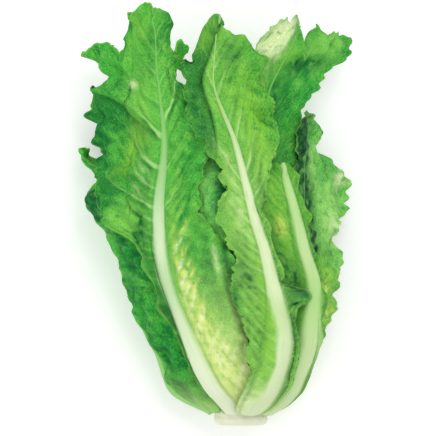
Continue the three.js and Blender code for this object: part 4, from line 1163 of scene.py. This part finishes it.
finishes = {name: leafFinish("leaf_" + name, look) for name, look in looks.items()}
quadCount = 0
for leaf in leaves:
    blade = growLeaf(leaf)
    blade.data.materials.append(finishes[leaf["look"]])
    quadCount += len(blade.data.polygons)
print("leaves grown:", quadCount, "quads")

# The stem: the bare butt with its cut face, and the core that the leaves grow from.
stem = {
    "profile": [[0, 15.4], [0.003, 17.2], [0.008, 18.3], [0.016, 18.9], [0.036, 18.6], [0.064, 16.6],
                [0.1, 13.6], [0.15, 9.6], [0.19, 5.6], [0.215, 2]],
    "sides": 128,
    "rings": 16,  # across the cut face
    "firstRing": 0.4,
    "rimGap": 0.2,
    "rows": 110,
    "hollow": 0.5,  # of the cut face
    "hollowEnds": 15,
    "cutRough": [[3, 7, 0.12], [4, 2.5, 0.05]],  # seed, length and height of its waves
    "skinRough": [5, 5, 0.18],
    "scar": {"at": 0.022, "sway": 0.004, "depth": 0.5},
    "flesh": (226, 228, 202),
    "green": (206, 220, 166),
    "cut": (226, 206, 150),
    "rim": (186, 140, 84),
    "rimWidth": (0.78, 0.97),  # where the browned rim sets in, from the middle outwards
    "rimStrength": 0.7,
    "roughness": 0.5,
    "bumpSize": 1.5,
    "bumpDepth": 0.2,
}


def makeStem():
    sides, rings, rows, scar = stem["sides"], stem["rings"], stem["rows"], stem["scar"]
    cut, top = stem["profile"][0][1], stem["profile"][-1][0]
    face, side = np.linspace(stem["firstRing"], cut - stem["rimGap"], rings), np.linspace(0, top, rows)
    t = np.concatenate([np.zeros(rings), side])
    radius = np.concatenate([face, along(stem["profile"], side)])
    around, down = np.meshgrid(np.linspace(0, 2 * np.pi, sides, endpoint=False), t, indexing="xy")
    wide = np.repeat(radius[:, None], sides, axis=1)
    ring = np.arange(len(t))[:, None] < rings
    x, y = wide * np.sin(around), wide * np.cos(around)
    rough = sum(waves(seed, length, x, y) * height for seed, length, height in stem["cutRough"])
    dip = np.where(ring, stem["hollow"] + rough, 0) / head["length"]
    dip = dip * ramp(head["cutRadius"], stem["hollowEnds"], wide)
    seed, length, height = stem["skinRough"]
    skin = waves(seed, length, around * head["cutRadius"], down * head["length"]) * height
    skin = skin * (~ring) * ramp(0, 0.01, down)
    fromScar = (down - scar["at"] - scar["sway"] * np.sin(3 * around)) * head["length"]
    groove = scar["depth"] * bump(fromScar, 1) * (~ring)
    points = headPoint(around, down + dip * ring, wide + skin - groove)
    middles = headPoint(np.zeros(2), np.array([stem["hollow"] / head["length"], top]), np.zeros(2))
    points = np.concatenate([points.reshape(-1, 3), middles])
    i, j = np.meshgrid(np.arange(len(t) - 1), np.arange(sides), indexing="ij")
    a, b = i * sides + j, i * sides + (j + 1) % sides
    quads = np.stack([a, b, b + sides, a + sides], axis=-1).reshape(-1, 4)
    k = np.arange(sides)
    after, end = (k + 1) % sides, (len(t) - 1) * sides
    faceFan = np.stack([np.full(sides, len(points) - 2), after, k], axis=-1)
    topFan = np.stack([np.full(sides, len(points) - 1), end + k, end + after], axis=-1)
    marks = {"cutFace": np.append(ring * np.ones_like(wide), [1, 0]),
             "fromMiddle": np.append(wide / head["cutRadius"], [0, 0])}
    return makePiece("butt", points, [quads, faceFan, topFan], marks, "stem")


def stemFinish():
    coat = Coat("stem_flesh")
    cutFace, rim = coat.mark("cutFace"), coat.spread(coat.mark("fromMiddle"), *stem["rimWidth"])
    coat.lay(sRGB(*stem["flesh"]))
    coat.lay(sRGB(*stem["green"]), coat.spread(coat.noise(6), 0.4, 0.75, 0, 0.5))
    coat.lay(sRGB(*stem["cut"]), coat.times(cutFace, coat.spread(coat.noise(4, 5), 0.4, 0.7), True))
    coat.lay(sRGB(*stem["rim"]), coat.times(cutFace, coat.times(rim, stem["rimStrength"]), True))
    return coat.finish(stem["roughness"], stem["bumpSize"], stem["bumpDepth"])


makeStem().data.materials.append(stemFinish())
print("stem made")

# Floor, light and camera.
studio = {
    "floor": (0.97, 0.97, 0.97),
    "floorHalf": 4,
    "glow": 0.13,  # so that the floor comes out pale
    "sky": 0.83,
    "lights": {"key_light": [(0.4, 0.6, 1.3), 7.6, 0.8], "fill_light": [(-0.9, -0.3, 1.2), 4, 1.2]},
    "middle": (-9.9, 22.5, 60),  # in millimetres, as the frame's width is
    "frameWidth": 309,
    "distance": 5,
    "sensor": 36,
    "clip": (0.01, 50),
    "floorRoughness": 0.9,
}
middle = Vector(studio["middle"]) * mm


def floorFinish():
    material = bpy.data.materials.new("pale_floor")
    material.use_nodes = True
    surface = material.node_tree.nodes["Principled BSDF"].inputs
    surface["Base Color"].default_value = (*studio["floor"], 1)
    surface["Roughness"].default_value = studio["floorRoughness"]
    surface["Specular IOR Level"].default_value = 0.1
    surface["Emission Color"].default_value = (1, 1, 1, 1)
    surface["Emission Strength"].default_value = studio["glow"]
    return material


def makeFloor():
    half = studio["floorHalf"]
    mesh = bpy.data.meshes.new("floor")
    corners = [(-half, -half, 0), (half, -half, 0), (half, half, 0), (-half, half, 0)]
    mesh.from_pydata(corners, [], [(0, 1, 2, 3)])
    mesh.materials.append(floorFinish())
    floor = bpy.data.objects.new("floor", mesh)
    bpy.context.scene.collection.objects.link(floor)


def addSky():
    world = bpy.data.worlds.new("studio")
    world.use_nodes = True
    background = world.node_tree.nodes["Background"].inputs
    background["Color"].default_value = (1, 1, 1, 1)
    background["Strength"].default_value = studio["sky"]
    bpy.context.scene.world = world


def addLight(name, place, power, size):
    light = bpy.data.lights.new(name, "AREA")
    light.energy = power
    light.size = size
    lamp = bpy.data.objects.new(name, light)
    lamp.location = middle + Vector(place)
    lamp.rotation_mode = "QUATERNION"
    lamp.rotation_quaternion = Vector(place).to_track_quat("Z", "Y")
    bpy.context.scene.collection.objects.link(lamp)


def addCamera():
    camera = bpy.data.objects.new("camera", bpy.data.cameras.new("camera"))
    camera.data.sensor_width = studio["sensor"]
    camera.data.lens = studio["sensor"] * studio["distance"] / (studio["frameWidth"] * mm)
    camera.data.clip_start = studio["clip"][0]
    camera.data.clip_end = studio["clip"][1]
    camera.location = middle + Vector((0, 0, studio["distance"]))
    bpy.context.scene.collection.objects.link(camera)
    bpy.context.scene.camera = camera


makeFloor()
addSky()
for name, facts in studio["lights"].items():
    addLight(name, *facts)
addCamera()
bpy.context.scene.view_settings.view_transform = "Standard"

print("scene ready")
